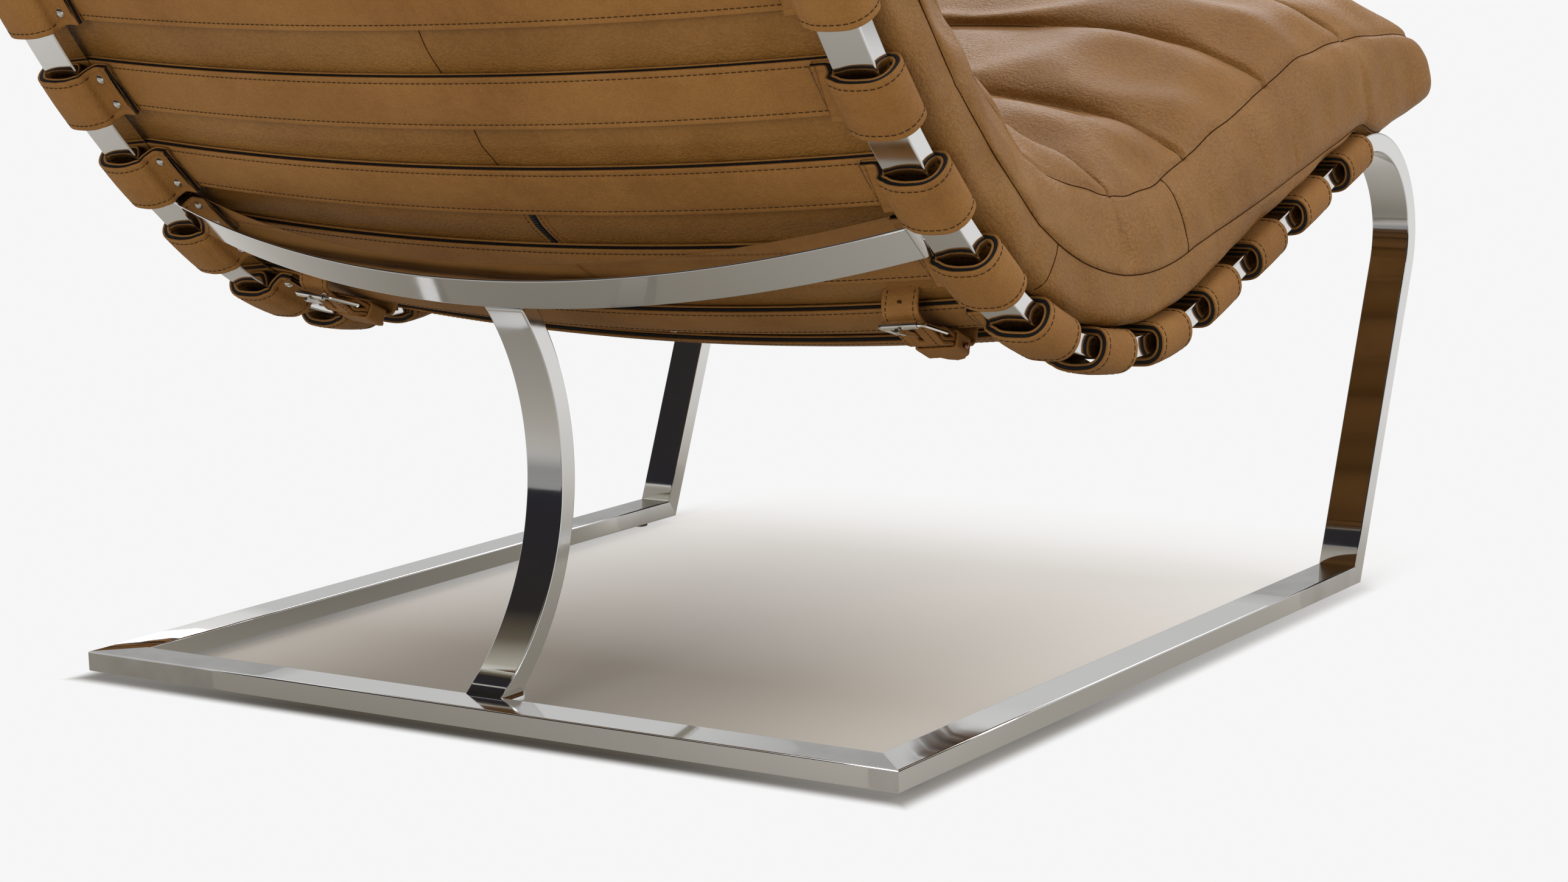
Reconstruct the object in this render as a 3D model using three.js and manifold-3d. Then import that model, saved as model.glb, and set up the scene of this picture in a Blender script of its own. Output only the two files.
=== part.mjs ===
// Cantilever lounge chair: two bent flat bars rise from an open floor base, leather straps
// cross between them, and one long channelled cushion lies on the straps.
// Lengths are in millimetres and angles in degrees. +Z is up and the sitter faces -Y.

import * as THREE from 'three';
import { mergeVertices } from 'three/addons/utils/BufferGeometryUtils.js';
import Module from 'manifold-3d';

const wasm = await Module();
wasm.setup();

// Flat bar of the frame
const BAR_WIDTH = 32;
const BAR_THICKNESS = 15;
const BAR_EASED_EDGE = 1.2;
const WELD_GAP = 0.3;

// Frame
const FRAME_WIDTH = 714;
const BASE_LENGTH = 703;
const POST_LEAN = 23.1;
const POST_RUN = 260;
const BEND_RADIUS = 75.6;
const SEAT_SLOPE = 18.2;
const SEAT_RUN = 302.4;
const LAP_RADIUS = 293.9;
const LAP_RECLINE = 38;
const BACK_RADIUS = 767;
const BACK_CURVED_RUN = 376;
const BACK_TOP_RUN = 200;
const CROSSBAR_BOW = 57.8;
const SUPPORT_BULGE = 60.5;

// Glides under the base
const GLIDE_DIAMETER = 13;
const GLIDE_HEIGHT = 5;
const GLIDE_EDGE = 0.8;
const GLIDE_SETBACK = 34;

// Straps
const STRAP_COUNT = 14;
const SEAT_STRAP_COUNT = 7;
const STRAP_WIDTH = 45;
const FIRST_STRAP_SETBACK = 25;
const STRAP_THICKNESS = 6;
const TOP_STRAP_SETBACK = 58.8;
const STRAP_BOW = 20;
const STRAP_CLEARANCE = 0.6;
const LOOP_SLACK = 3.8;
const LOOP_SIDE_SLACK = 2;
const LOOP_TURN_RADIUS = 7;
const FLAP_GAP = 0.5;
const FLAP_LENGTH = 24;
const FLAP_POINT = 6;

// Cushion
const CUSHION_SIDE_INSET = 7;
const CUSHION_SIDE_BULGE = 16;
const CUSHION_SIDE_HEIGHT = 87;
const CUSHION_CROWN = 50;
const CHANNEL_RISE = 17;
const BACK_SEAM_TUCK = 11;
const CUSHION_CLEARANCE = 1;
const CUSHION_OVERHANG = 148;
const CUSHION_TOP_OVERHANG = 20;
const SEAT_CHANNELS = 3;
const BACK_CHANNELS = 5;
const LAP_CHANNEL = 163;
const CHANNEL_DRAW_IN = 5;

// Buckled belts that hold the cushion to a strap
const BELT_INSET = 63;
const BELT_WIDTH = 28;
const BELT_THICKNESS = 2.6;
const BELT_GAP = 0.5;
const BELT_TAIL = 46;
const BELT_POINT = 12;
const BUCKLE_WIRE = 3.4;
const BUCKLE_WIDTH = 34;
const BUCKLE_LENGTH = 36;
const BUCKLE_DROP = 13.6;
const BUCKLE_TILT = 9;
const ROLLER_DIAMETER = 6;
const ROLLER_BORE = 4;
const ROLLER_LENGTH = 26.6;
const PRONG_WIDTH = 3;
const PRONG_THICKNESS = 2.6;
const PRONG_EYE_DIAMETER = 7.2;
const PRONG_TIP = 4;
const PRONG_ROOT_TURN = -60;
const KEEPER_WIDTH = 18;
const KEEPER_THICKNESS = 2;
const KEEPER_SETBACK = 14;
const KEEPER_CORNER = 2.5;

// Facets
const BEND_STEPS = 14;
const LAP_STEPS = 12;
const BACK_STEPS = 12;
const CROSSBAR_STEPS = 20;
const SUPPORT_STEPS = 14;
const ROUND_STEPS = 16;
const WIRE_STEPS = 8;
const CORNER_STEPS = 3;
const WRAP_STEPS = 6;

// Shares of the half width between the rails at which straps and cushion have their folds
const BOW_SHARES = [-1, -0.75, -0.4, 0, 0.4, 0.75, 1];

// A channel of the cushion from seam to seam: places along it, and how far it swells there
const CHANNEL_PLACE_SHARES = [0, 0.16, 0.5, 0.84];
const CHANNEL_SWELL_SHARES = [0, 0.76, 1, 0.76];
const LAP_SEAM_SHARE = 0.46;

// The cushion's front end: places as shares of the overhang. Heights are shares of the side's.
const NOSE_PLACE_SHARES = [0, 0.04, 0.17, 0.44, 0.66, 0.8, 1, 1.5];
const NOSE_UNDER_SHARES = [-0.287, -0.322, -0.31, -0.264, -0.207, -0.138, 0, 0];
const NOSE_EDGE_SHARES = [-0.943, -0.78, -0.644, -0.46, -0.333, -0.264, -0.161, 0];
const NOSE_WIDTH_SHARES = [0.955, 0.98, 1, 1, 1, 1, 1, 1];
const NOSE_CROWN_SHARES = [0.45, 0.7, 0.88, 1, 1, 1, 1, 1];

// The cushion's top end in the same way
const CROWN_PLACE_SHARES = [0, 0.05, 0.16, 0.34];
const CROWN_UNDER_SHARES = [0.24, 0.1, 0, 0];
const CROWN_EDGE_SHARES = [-0.4, -0.22, -0.07, 0];
const CROWN_WIDTH_SHARES = [0.96, 0.985, 1, 1];
const CROWN_SWELL_SHARES = [0.3, 0.6, 0.9, 1];

// The cushion's side, as shares of its bulge and of its height
const SIDE_BULGE_SHARES = [0.75, 1, 0.95, 0.6];
const SIDE_HEIGHT_SHARES = [0.1, 0.34, 0.6, 0.85];

// The cushion's upper face, as shares of its half width and of its crown
const FACE_WIDTH_SHARES = [0.975, 0.88, 0.74, 0.45];
const FACE_CROWN_SHARES = [0.15, 0.46, 0.74, 0.965];

// Belt routes as shares: of the reach to the gap beside the strap, then of the route's depth
const CHAPE_ROUTE_SHARES = [[-1, 0], [-0.98, 0.5], [-0.9, 0.86], [-0.74, 1]];
const BILLET_ROUTE_SHARES = [[1, 0], [0.98, 0.45], [0.92, 0.8], [0.82, 0.97], [0.68, 1.05]];
const FOLD_BACK_SHARES = [[0.3, 0.75], [0.65, 0.3], [1, 0]];
const PRONG_SLOT_SHARES = [0.05, 0.6];

const STEEL = { color: 0xb9b6b0, metalness: 1, roughness: 0.12 };
const LEATHER = { color: 0x9a6c3a, metalness: 0, roughness: 0.6 };
const STRAP_LEATHER = { color: 0x8d6234, metalness: 0, roughness: 0.55 };
const NICKEL = { color: 0xc9c5bd, metalness: 1, roughness: 0.15 };
const NYLON = { color: 0x5b4634, metalness: 0, roughness: 0.5 };

const rad = THREE.MathUtils.degToRad;
const ACROSS = new THREE.Vector3(1, 0, 0);
const REARWARD = new THREE.Vector3(0, 1, 0);
const UP = new THREE.Vector3(0, 0, 1);
const SIDES = { left: 1, right: -1 };

const object = new THREE.Group();

function addPiece(name, geometry, look) {
  geometry.computeVertexNormals();
  const mesh = new THREE.Mesh(geometry, new THREE.MeshStandardMaterial(look));
  mesh.name = name;
  object.add(mesh);
}

function signedVolume(geometry) {
  const place = geometry.getAttribute('position');
  const [a, b, c] = [new THREE.Vector3(), new THREE.Vector3(), new THREE.Vector3()];
  let volume = 0;
  for (let i = 0; i < geometry.index.count; i += 3) {
    a.fromBufferAttribute(place, geometry.index.getX(i));
    b.fromBufferAttribute(place, geometry.index.getX(i + 1));
    c.fromBufferAttribute(place, geometry.index.getX(i + 2));
    volume += a.dot(b.cross(c)) / 6;
  }
  return volume;
}

function flipped(faces) {
  const turned = [];
  for (let i = 0; i < faces.length; i += 3) {
    turned.push(faces[i], faces[i + 2], faces[i + 1]);
  }
  return turned;
}

// Triangles over a flat outline that run the same way round as the outline does.
function capFaces(outline) {
  const faces = THREE.ShapeUtils.triangulateShape(outline, []).flat();
  return THREE.ShapeUtils.isClockWise(outline) ? flipped(faces) : faces;
}

// A solid from rings of points, all with the same count. Its ends are closed over the two
// flat outlines. Without outlines the last ring joins the first.
function loft(rings, outlines) {
  const count = rings[0].length;
  const faces = [];
  const links = outlines ? rings.length - 1 : rings.length;
  for (let i = 0; i < links; i += 1) {
    const here = i * count;
    const next = ((i + 1) % rings.length) * count;
    for (let j = 0; j < count; j += 1) {
      const k = (j + 1) % count;
      faces.push(here + j, next + j, next + k);
      faces.push(here + j, next + k, here + k);
    }
  }
  if (outlines) {
    const last = (rings.length - 1) * count;
    faces.push(...capFaces(outlines[0]));
    faces.push(...flipped(capFaces(outlines[1])).map((index) => index + last));
  }
  const points = rings.flat().flatMap((point) => point.toArray());
  const geometry = new THREE.BufferGeometry();
  geometry.setAttribute('position', new THREE.Float32BufferAttribute(points, 3));
  geometry.setIndex(faces);
  if (signedVolume(geometry) < 0) {
    geometry.setIndex(flipped(faces));
  }
  return geometry;
}

function toSolid(geometry) {
  const plain = geometry.clone();
  plain.deleteAttribute('normal');
  plain.deleteAttribute('uv');
  const merged = mergeVertices(plain);
  return new wasm.Manifold(new wasm.Mesh({
    numProp: 3,
    vertProperties: new Float32Array(merged.getAttribute('position').array),
    triVerts: new Uint32Array(merged.index.array),
  }));
}

function fromSolid(solid) {
  const mesh = solid.getMesh();
  const geometry = new THREE.BufferGeometry();
  geometry.setAttribute('position', new THREE.Float32BufferAttribute(mesh.vertProperties, 3));
  geometry.setIndex(Array.from(mesh.triVerts));
  return geometry;
}

// The bar's section with its long edges eased. x is across the bar and y goes through it.
function barSection() {
  const half = BAR_WIDTH / 2;
  const deep = BAR_THICKNESS / 2;
  const ease = BAR_EASED_EDGE;
  return [
    [-half + ease, -deep],
    [half - ease, -deep],
    [half, -deep + ease],
    [half, deep - ease],
    [half - ease, deep],
    [-half + ease, deep],
    [-half, deep - ease],
    [-half, -deep + ease],
  ].map(([x, y]) => new THREE.Vector2(x, y));
}

function placeSection(section, centre, across, through) {
  return section.map((p) => (
    centre.clone().addScaledVector(across, p.x).addScaledVector(through, p.y)
  ));
}

// Each point of a ring slides along one direction until it meets a plane.
function slideToPlane(ring, along, planePoint, planeNormal) {
  return ring.map((point) => {
    const away = planePoint.clone().sub(point).dot(planeNormal);
    return point.clone().addScaledVector(along, away / along.dot(planeNormal));
  });
}

// A route in the side plane, made of straight runs and arcs that follow on smoothly.
class SideRoute {
  constructor(y, z, heading) {
    this.runs = [];
    this.end = { y, z, heading };
    this.length = 0;
  }

  line(length) {
    return this.add(length, 0);
  }

  // A turn to a heading. A negative radius turns clockwise, seen from the left.
  arc(radius, heading) {
    return this.add(Math.abs(radius * rad(heading - this.end.heading)), 1 / radius);
  }

  add(length, curve) {
    const run = { from: this.length, length, curve, ...this.end };
    this.runs.push(run);
    this.length += length;
    this.end = SideRoute.step(run, length);
    return this;
  }

  static step(run, distance) {
    const start = rad(run.heading);
    if (run.curve === 0) {
      const y = run.y + distance * Math.cos(start);
      return { y, z: run.z + distance * Math.sin(start), heading: run.heading };
    }
    const end = start + run.curve * distance;
    return {
      y: run.y + (Math.sin(end) - Math.sin(start)) / run.curve,
      z: run.z - (Math.cos(end) - Math.cos(start)) / run.curve,
      heading: THREE.MathUtils.radToDeg(end),
    };
  }

  // The place and directions at a distance along the route. Past its end it goes straight on.
  at(distance) {
    if (distance > this.length) {
      return sideFrame(SideRoute.step({ ...this.end, curve: 0 }, distance - this.length));
    }
    const run = this.runs.findLast((item) => item.from <= distance) ?? this.runs[0];
    return sideFrame(SideRoute.step(run, distance - run.from));
  }
}

// A frame on the route: along follows it, and out goes from the bar toward the sitter.
function sideFrame({ y, z, heading }) {
  const turn = rad(heading);
  return {
    centre: new THREE.Vector3(0, y, z),
    along: new THREE.Vector3(0, Math.cos(turn), Math.sin(turn)),
    out: new THREE.Vector3(0, -Math.sin(turn), Math.cos(turn)),
    heading,
  };
}

function sidePoint(frame, x, out, along = 0) {
  const point = frame.centre.clone().addScaledVector(frame.out, out);
  point.addScaledVector(frame.along, along);
  point.x = x;
  return point;
}

const baseMiddle = GLIDE_HEIGHT + BAR_THICKNESS / 2;
const baseTop = GLIDE_HEIGHT + BAR_THICKNESS;
const railOffset = (FRAME_WIDTH - BAR_WIDTH) / 2;
const innerHalfWidth = FRAME_WIDTH / 2 - BAR_WIDTH;
const halfThickness = BAR_THICKNESS / 2;

// The mitre between a floor bar and its leaning post halves the angle between them.
const mitreAngle = rad((90 + POST_LEAN) / 2);
const mitreNormal = new THREE.Vector3(0, Math.sin(mitreAngle), -Math.cos(mitreAngle));
const mitreSetback = halfThickness / Math.tan(mitreAngle);
const mitreCentre = new THREE.Vector3(0, mitreSetback - BASE_LENGTH, baseMiddle);

const rail = new SideRoute(mitreCentre.y, mitreCentre.z, 90 + POST_LEAN)
  .line(POST_RUN)
  .arc(-BEND_RADIUS, -SEAT_SLOPE)
  .line(SEAT_RUN)
  .arc(LAP_RADIUS, LAP_RECLINE)
  .add(BACK_CURVED_RUN, 1 / BACK_RADIUS)
  .line(BACK_TOP_RUN);

const deckStart = rail.runs[2].from;
const lapStart = rail.runs[3].from;
const lapLength = rail.runs[3].length;

// The deck of straps and cushion follows the rail, but goes straight on in front of its bend.
function deckAt(distance) {
  if (distance >= deckStart) {
    return rail.at(distance);
  }
  const frame = rail.at(deckStart);
  frame.centre.addScaledVector(frame.along, distance - deckStart);
  return frame;
}

// The straps are evenly spaced from the front of the deck to near the top of the rails.
const firstStrap = deckStart + FIRST_STRAP_SETBACK;
const strapPitch = (rail.length - TOP_STRAP_SETBACK - firstStrap) / (STRAP_COUNT - 1);

function strapPlace(index) {
  return firstStrap + index * strapPitch;
}

// The upright plane of the mitre between the rear floor bar and a side floor bar
function cornerNormal(side) {
  return new THREE.Vector3(side, -1, 0).normalize();
}

function cornerPoint(side, shift) {
  const corner = new THREE.Vector3(side * FRAME_WIDTH / 2, 0, baseMiddle);
  return corner.addScaledVector(cornerNormal(side), shift);
}

function makeBaseBars() {
  const section = barSection();
  const rearCentre = new THREE.Vector3(0, -BAR_WIDTH / 2, baseMiddle);
  const rearRing = placeSection(section, rearCentre, REARWARD, UP);
  const rearRings = [-1, 1].map((side) => (
    slideToPlane(rearRing, ACROSS, cornerPoint(side, -WELD_GAP / 2), cornerNormal(side))
  ));
  addPiece('base_rear_bar', loft(rearRings, [section, section]), STEEL);

  for (const [name, side] of Object.entries(SIDES)) {
    const centre = new THREE.Vector3(side * railOffset, 0, baseMiddle);
    const ring = placeSection(section, centre, ACROSS, UP);
    const frontPoint = mitreCentre.clone().addScaledVector(mitreNormal, WELD_GAP / 2);
    const rings = [
      slideToPlane(ring, REARWARD, frontPoint, mitreNormal),
      slideToPlane(ring, REARWARD, cornerPoint(side, WELD_GAP / 2), cornerNormal(side)),
    ];
    addPiece(`base_side_bar_${name}`, loft(rings, [section, section]), STEEL);
  }
}

// Distances along the rail at which it gets a ring of points
function railStops() {
  const steps = [1, BEND_STEPS, 1, LAP_STEPS, BACK_STEPS, 1];
  const stops = [0];
  rail.runs.forEach((run, i) => {
    for (let k = 1; k <= steps[i]; k += 1) {
      stops.push(run.from + run.length * k / steps[i]);
    }
  });
  return stops;
}

function makeSideRails() {
  const section = barSection();
  for (const [name, side] of Object.entries(SIDES)) {
    const rings = railStops().map((distance) => {
      const frame = rail.at(distance);
      frame.centre.setX(side * railOffset);
      return placeSection(section, frame.centre, ACROSS, frame.out);
    });
    const footPoint = mitreCentre.clone().addScaledVector(mitreNormal, -WELD_GAP / 2);
    rings[0] = slideToPlane(rings[0], rail.at(0).along, footPoint, mitreNormal);
    addPiece(`side_rail_${name}`, loft(rings, [section, section]), STEEL);
  }
}

// A bar between the rails that bows away from the sitter and ends flush with them.
function makeCrossbar(name, distance) {
  const section = barSection();
  const frame = rail.at(distance);
  const half = innerHalfWidth - WELD_GAP;
  const radius = (half * half + CROSSBAR_BOW * CROSSBAR_BOW) / (2 * CROSSBAR_BOW);
  const reach = Math.asin(half / radius);
  const rings = [];
  for (let i = 0; i <= CROSSBAR_STEPS; i += 1) {
    const turn = reach * (2 * i / CROSSBAR_STEPS - 1);
    const drop = radius - CROSSBAR_BOW - radius * Math.cos(turn);
    const centre = sidePoint(frame, radius * Math.sin(turn), drop);
    const outward = ACROSS.clone().multiplyScalar(Math.sin(turn));
    outward.addScaledVector(frame.out, -Math.cos(turn));
    rings.push(placeSection(section, centre, frame.along, outward));
  }
  for (const [index, side] of [[0, -1], [CROSSBAR_STEPS, 1]]) {
    const along = ACROSS.clone().multiplyScalar(Math.cos(reach));
    along.addScaledVector(frame.out, side * Math.sin(reach));
    const end = new THREE.Vector3(side * half, 0, 0);
    rings[index] = slideToPlane(rings[index], along, end, ACROSS);
  }
  addPiece(name, loft(rings, [section, section]), STEEL);
}

// The curved stay from the middle of the rear floor bar to the middle of the lower crossbar.
// Its foot is notched round the top inner edge of the floor bar.
function makeRearSupport(crossbarPlace) {
  const section = barSection();
  const frame = rail.at(crossbarPlace);
  const top = sidePoint(frame, 0, -CROSSBAR_BOW, -BAR_WIDTH / 2 - WELD_GAP);
  const foot = new THREE.Vector3(0, -BAR_WIDTH - WELD_GAP, baseMiddle);
  const chord = top.clone().sub(foot);
  const radius = SUPPORT_BULGE / 2 + chord.lengthSq() / (8 * SUPPORT_BULGE);
  const rise = radius - SUPPORT_BULGE;
  const sideways = new THREE.Vector3(0, chord.z, -chord.y).normalize();
  const hub = top.clone().add(foot).multiplyScalar(1 / 2).addScaledVector(sideways, rise);
  const startTurn = Math.atan2(foot.z - hub.z, foot.y - hub.y);
  const endTurn = Math.atan2(top.z - hub.z, top.y - hub.y);
  const sweep = THREE.MathUtils.euclideanModulo(startTurn - endTurn, 2 * Math.PI);
  const rings = [];
  for (let i = -1; i <= SUPPORT_STEPS + 1; i += 1) {
    const turn = startTurn - sweep * i / SUPPORT_STEPS;
    const outward = new THREE.Vector3(0, Math.cos(turn), Math.sin(turn));
    const centre = hub.clone().addScaledVector(outward, radius);
    rings.push(placeSection(section, centre, ACROSS, outward));
  }
  const size = BASE_LENGTH / 2;
  const below = new THREE.BoxGeometry(size, size, size).translate(0, 0, GLIDE_HEIGHT - size / 2);
  const bar = new THREE.BoxGeometry(size, size, size)
    .translate(0, size / 2 - BAR_WIDTH - WELD_GAP, baseTop + WELD_GAP - size / 2);
  const above = new THREE.BoxGeometry(size, size, size)
    .translate(0, 0, size / 2)
    .rotateX(rad(frame.heading - 90))
    .translate(0, top.y, top.z);
  let stay = toSolid(loft(rings, [section, section]));
  for (const block of [below, bar, above]) {
    stay = stay.subtract(toSolid(block));
  }
  addPiece('rear_support', fromSolid(stay), STEEL);
}

function makeGlides() {
  const radius = GLIDE_DIAMETER / 2;
  const height = GLIDE_HEIGHT - WELD_GAP;
  const profile = [
    [0, 0],
    [radius - GLIDE_EDGE, 0],
    [radius, GLIDE_EDGE],
    [radius, height],
    [0, height],
  ].map(([x, y]) => new THREE.Vector2(x, y));
  const places = { front: GLIDE_SETBACK - BASE_LENGTH, rear: -GLIDE_SETBACK };
  for (const [end, y] of Object.entries(places)) {
    for (const [name, side] of Object.entries(SIDES)) {
      const geometry = new THREE.LatheGeometry(profile, ROUND_STEPS).rotateX(Math.PI / 2);
      addPiece(`glide_${end}_${name}`, geometry.translate(side * railOffset, y, 0), NYLON);
    }
  }
}

// How far a strap sags between the rails, at x from the chair's middle
function bowAt(x) {
  const share = Math.min(Math.abs(x) / innerHalfWidth, 1);
  return STRAP_BOW * (1 - share * share);
}

const strapSeat = halfThickness + STRAP_CLEARANCE + STRAP_THICKNESS / 2;
const strapTop = strapSeat + STRAP_THICKNESS / 2;

function arcPoints(centreX, centreY, radius, from, to, steps) {
  const points = [];
  for (let i = 0; i <= steps; i += 1) {
    const turn = rad(from + (to - from) * i / steps);
    const x = centreX + radius * Math.cos(turn);
    points.push(new THREE.Vector2(x, centreY + radius * Math.sin(turn)));
  }
  return points;
}

// One end of a strap's middle line: over the rail, loosely round it, and back to lie as a
// flap under the strap's own run.
function loopLine(flapLength) {
  const half = STRAP_THICKNESS / 2;
  const turn = LOOP_TURN_RADIUS;
  const outer = FRAME_WIDTH / 2 + LOOP_SIDE_SLACK + half;
  const inner = innerHalfWidth - half - FLAP_GAP;
  const under = -halfThickness - LOOP_SLACK - half;
  const drop = STRAP_THICKNESS + FLAP_GAP;
  const flap = (x) => new THREE.Vector2(x, strapSeat - bowAt(x) - drop);
  return [
    new THREE.Vector2(railOffset, strapSeat),
    ...arcPoints(outer - turn, strapSeat - turn, turn, 90, 0, CORNER_STEPS),
    ...arcPoints(outer - turn, under + turn, turn, 0, -90, CORNER_STEPS),
    ...arcPoints(inner + turn, under + turn, turn, -90, -180, CORNER_STEPS),
    flap(inner - 2 * half),
    flap(innerHalfWidth - flapLength),
  ];
}

// A closed outline with half the thickness on each side of a line
function ribbon(line, thickness) {
  const left = [];
  const right = [];
  line.forEach((point, i) => {
    const before = line[Math.max(i - 1, 0)];
    const after = line[Math.min(i + 1, line.length - 1)];
    const arriving = point.clone().sub(before).normalize();
    const leaving = after.clone().sub(point).normalize();
    const along = arriving.clone().add(leaving).normalize();
    const mitre = Math.max(along.dot(arriving), along.dot(leaving));
    const side = new THREE.Vector2(-along.y, along.x).multiplyScalar(thickness / 2 / mitre);
    left.push(point.clone().add(side));
    right.push(point.clone().sub(side));
  });
  return [...left, ...right.reverse()];
}

function strapOutline(flapLength) {
  const near = loopLine(flapLength);
  const far = near.map((p) => new THREE.Vector2(-p.x, p.y)).reverse();
  const run = BOW_SHARES.map((share) => {
    const x = share * innerHalfWidth;
    return new THREE.Vector2(x, strapSeat - bowAt(x));
  });
  return ribbon([...far, ...run, ...near], STRAP_THICKNESS);
}

// Each flap is cut at a slant, with its point at the edge nearer the front.
function makeStrap(name, place) {
  const stops = [-STRAP_WIDTH / 2, 0, STRAP_WIDTH / 2];
  const flaps = [FLAP_LENGTH + FLAP_POINT, FLAP_LENGTH + FLAP_POINT / 3, FLAP_LENGTH];
  const outlines = flaps.map(strapOutline);
  const rings = stops.map((stop, i) => {
    const frame = rail.at(place + stop);
    return outlines[i].map((p) => sidePoint(frame, p.x, p.y));
  });
  addPiece(name, loft(rings, [outlines[0], outlines[2]]), STRAP_LEATHER);
}

function makeStraps() {
  for (let i = 0; i < STRAP_COUNT; i += 1) {
    const seat = i < SEAT_STRAP_COUNT;
    const name = seat ? `seat_strap_${i + 1}` : `back_strap_${i + 1 - SEAT_STRAP_COUNT}`;
    makeStrap(name, strapPlace(i));
  }
}

const cushionFront = deckStart - CUSHION_OVERHANG;
const cushionEnd = rail.length + CUSHION_TOP_OVERHANG;

// A value read between the places of a table. Outside the table its end values hold.
function valueAt(places, values, place) {
  const last = places.length - 1;
  if (place >= places[last]) {
    return values[last];
  }
  const i = Math.max(places.findIndex((item) => item > place), 1);
  const t = (place - places[i - 1]) / (places[i] - places[i - 1]);
  return values[i - 1] + (values[i] - values[i - 1]) * t;
}

const lapSeam = lapStart + lapLength * LAP_SEAM_SHARE;

// Where the cushion's cross seams lie along the deck
function channelSeams() {
  const seatEnd = lapSeam - LAP_CHANNEL;
  const seams = [];
  for (let i = 0; i <= SEAT_CHANNELS; i += 1) {
    seams.push(cushionFront + (seatEnd - cushionFront) * i / SEAT_CHANNELS);
  }
  for (let i = 0; i <= BACK_CHANNELS; i += 1) {
    seams.push(lapSeam + (cushionEnd - lapSeam) * i / BACK_CHANNELS);
  }
  return seams;
}

// The cushion's rings along the deck, each with how far its channel swells there
function cushionStops() {
  const seams = channelSeams();
  const places = [];
  const swells = [];
  for (let i = 0; i + 1 < seams.length; i += 1) {
    CHANNEL_PLACE_SHARES.forEach((share, k) => {
      places.push(seams[i] + (seams[i + 1] - seams[i]) * share);
      swells.push(CHANNEL_SWELL_SHARES[k]);
    });
  }
  places.push(cushionEnd);
  swells.push(0);
  const nose = NOSE_PLACE_SHARES.slice(1, -1);
  const crown = CROWN_PLACE_SHARES.slice(1);
  const all = [
    ...places,
    ...nose.map((share) => cushionFront + CUSHION_OVERHANG * share),
    ...crown.map((share) => cushionEnd - CUSHION_OVERHANG * share),
  ].sort((a, b) => a - b);
  const least = CUSHION_OVERHANG / 30;
  const last = all.length - 1;
  const kept = all.filter((place, i) => i === 0 || i === last || all[i + 1] - place > least);
  return kept.map((place) => ({ place, swell: valueAt(places, swells, place) }));
}

function cushionOutline({ place, swell }) {
  const fromFront = (place - cushionFront) / CUSHION_OVERHANG;
  const fromEnd = (cushionEnd - place) / CUSHION_OVERHANG;
  const both = (nose, crown) => [
    valueAt(NOSE_PLACE_SHARES, nose, fromFront),
    valueAt(CROWN_PLACE_SHARES, crown, fromEnd),
  ];
  const [noseUnder, endUnder] = both(NOSE_UNDER_SHARES, CROWN_UNDER_SHARES);
  const [noseEdge, endEdge] = both(NOSE_EDGE_SHARES, CROWN_EDGE_SHARES);
  const [noseWidth, endWidth] = both(NOSE_WIDTH_SHARES, CROWN_WIDTH_SHARES);
  const [noseCrown, endCrown] = both(NOSE_CROWN_SHARES, CROWN_SWELL_SHARES);
  const drawIn = CHANNEL_DRAW_IN * (1 - swell);
  const rest = strapTop + CUSHION_CLEARANCE;
  const under = rest + CUSHION_SIDE_HEIGHT * (noseUnder + endUnder);
  const edge = rest + CUSHION_SIDE_HEIGHT * (1 + noseEdge + endEdge) - drawIn;
  const half = (FRAME_WIDTH / 2 - CUSHION_SIDE_INSET) * noseWidth * endWidth - drawIn / 2;
  const crown = (CUSHION_CROWN + CHANNEL_RISE * swell) * noseCrown * endCrown;
  const tuck = BACK_SEAM_TUCK * THREE.MathUtils.smoothstep(place, lapSeam, lapSeam + LAP_CHANNEL);
  const faceHalf = half - tuck;

  const side = SIDE_BULGE_SHARES.map((bulge, i) => new THREE.Vector2(
    half + CUSHION_SIDE_BULGE * bulge - tuck * SIDE_HEIGHT_SHARES[i] ** 3,
    under + (edge - under) * SIDE_HEIGHT_SHARES[i],
  ));
  side.push(new THREE.Vector2(faceHalf, edge));
  FACE_WIDTH_SHARES.forEach((share, i) => {
    side.push(new THREE.Vector2(faceHalf * share, edge + crown * FACE_CROWN_SHARES[i]));
  });
  const far = side.map((p) => new THREE.Vector2(-p.x, p.y)).reverse();
  const bottom = BOW_SHARES.map((share) => {
    const x = share * innerHalfWidth;
    return new THREE.Vector2(x, under - bowAt(x) * noseCrown);
  });
  bottom.unshift(new THREE.Vector2(-half, under));
  bottom.push(new THREE.Vector2(half, under));
  return [...bottom, ...side, new THREE.Vector2(0, edge + crown), ...far];
}

function makeCushion() {
  const stops = cushionStops();
  const outlines = stops.map(cushionOutline);
  const rings = outlines.map((outline, i) => {
    const frame = deckAt(stops[i].place);
    return outline.map((p) => sidePoint(frame, p.x, p.y));
  });
  addPiece('cushion', loft(rings, [outlines[0], outlines[outlines.length - 1]]), LEATHER);
}

// The belts are drawn round the middle of their strap: x runs along the rail and y out
// toward the sitter, and a piece's width lies across them.
const beltReach = strapPitch / 2;
const reachRise = (beltReach * beltReach) / (2 * LAP_RADIUS);
const beltRise = STRAP_THICKNESS / 2 + CUSHION_CLEARANCE - BELT_GAP + reachRise;
const layerStep = BELT_THICKNESS + BELT_GAP;
const wrapRadius = BUCKLE_WIRE / 2 + BELT_GAP + BELT_THICKNESS / 2;
const heel = new THREE.Vector2(BUCKLE_WIRE / 2, -BUCKLE_DROP);
const tilt = rad(BUCKLE_TILT);
const rollerCentre = new THREE.Vector2(
  heel.x + BUCKLE_LENGTH * Math.cos(tilt),
  heel.y - BUCKLE_LENGTH * Math.sin(tilt),
);

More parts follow.
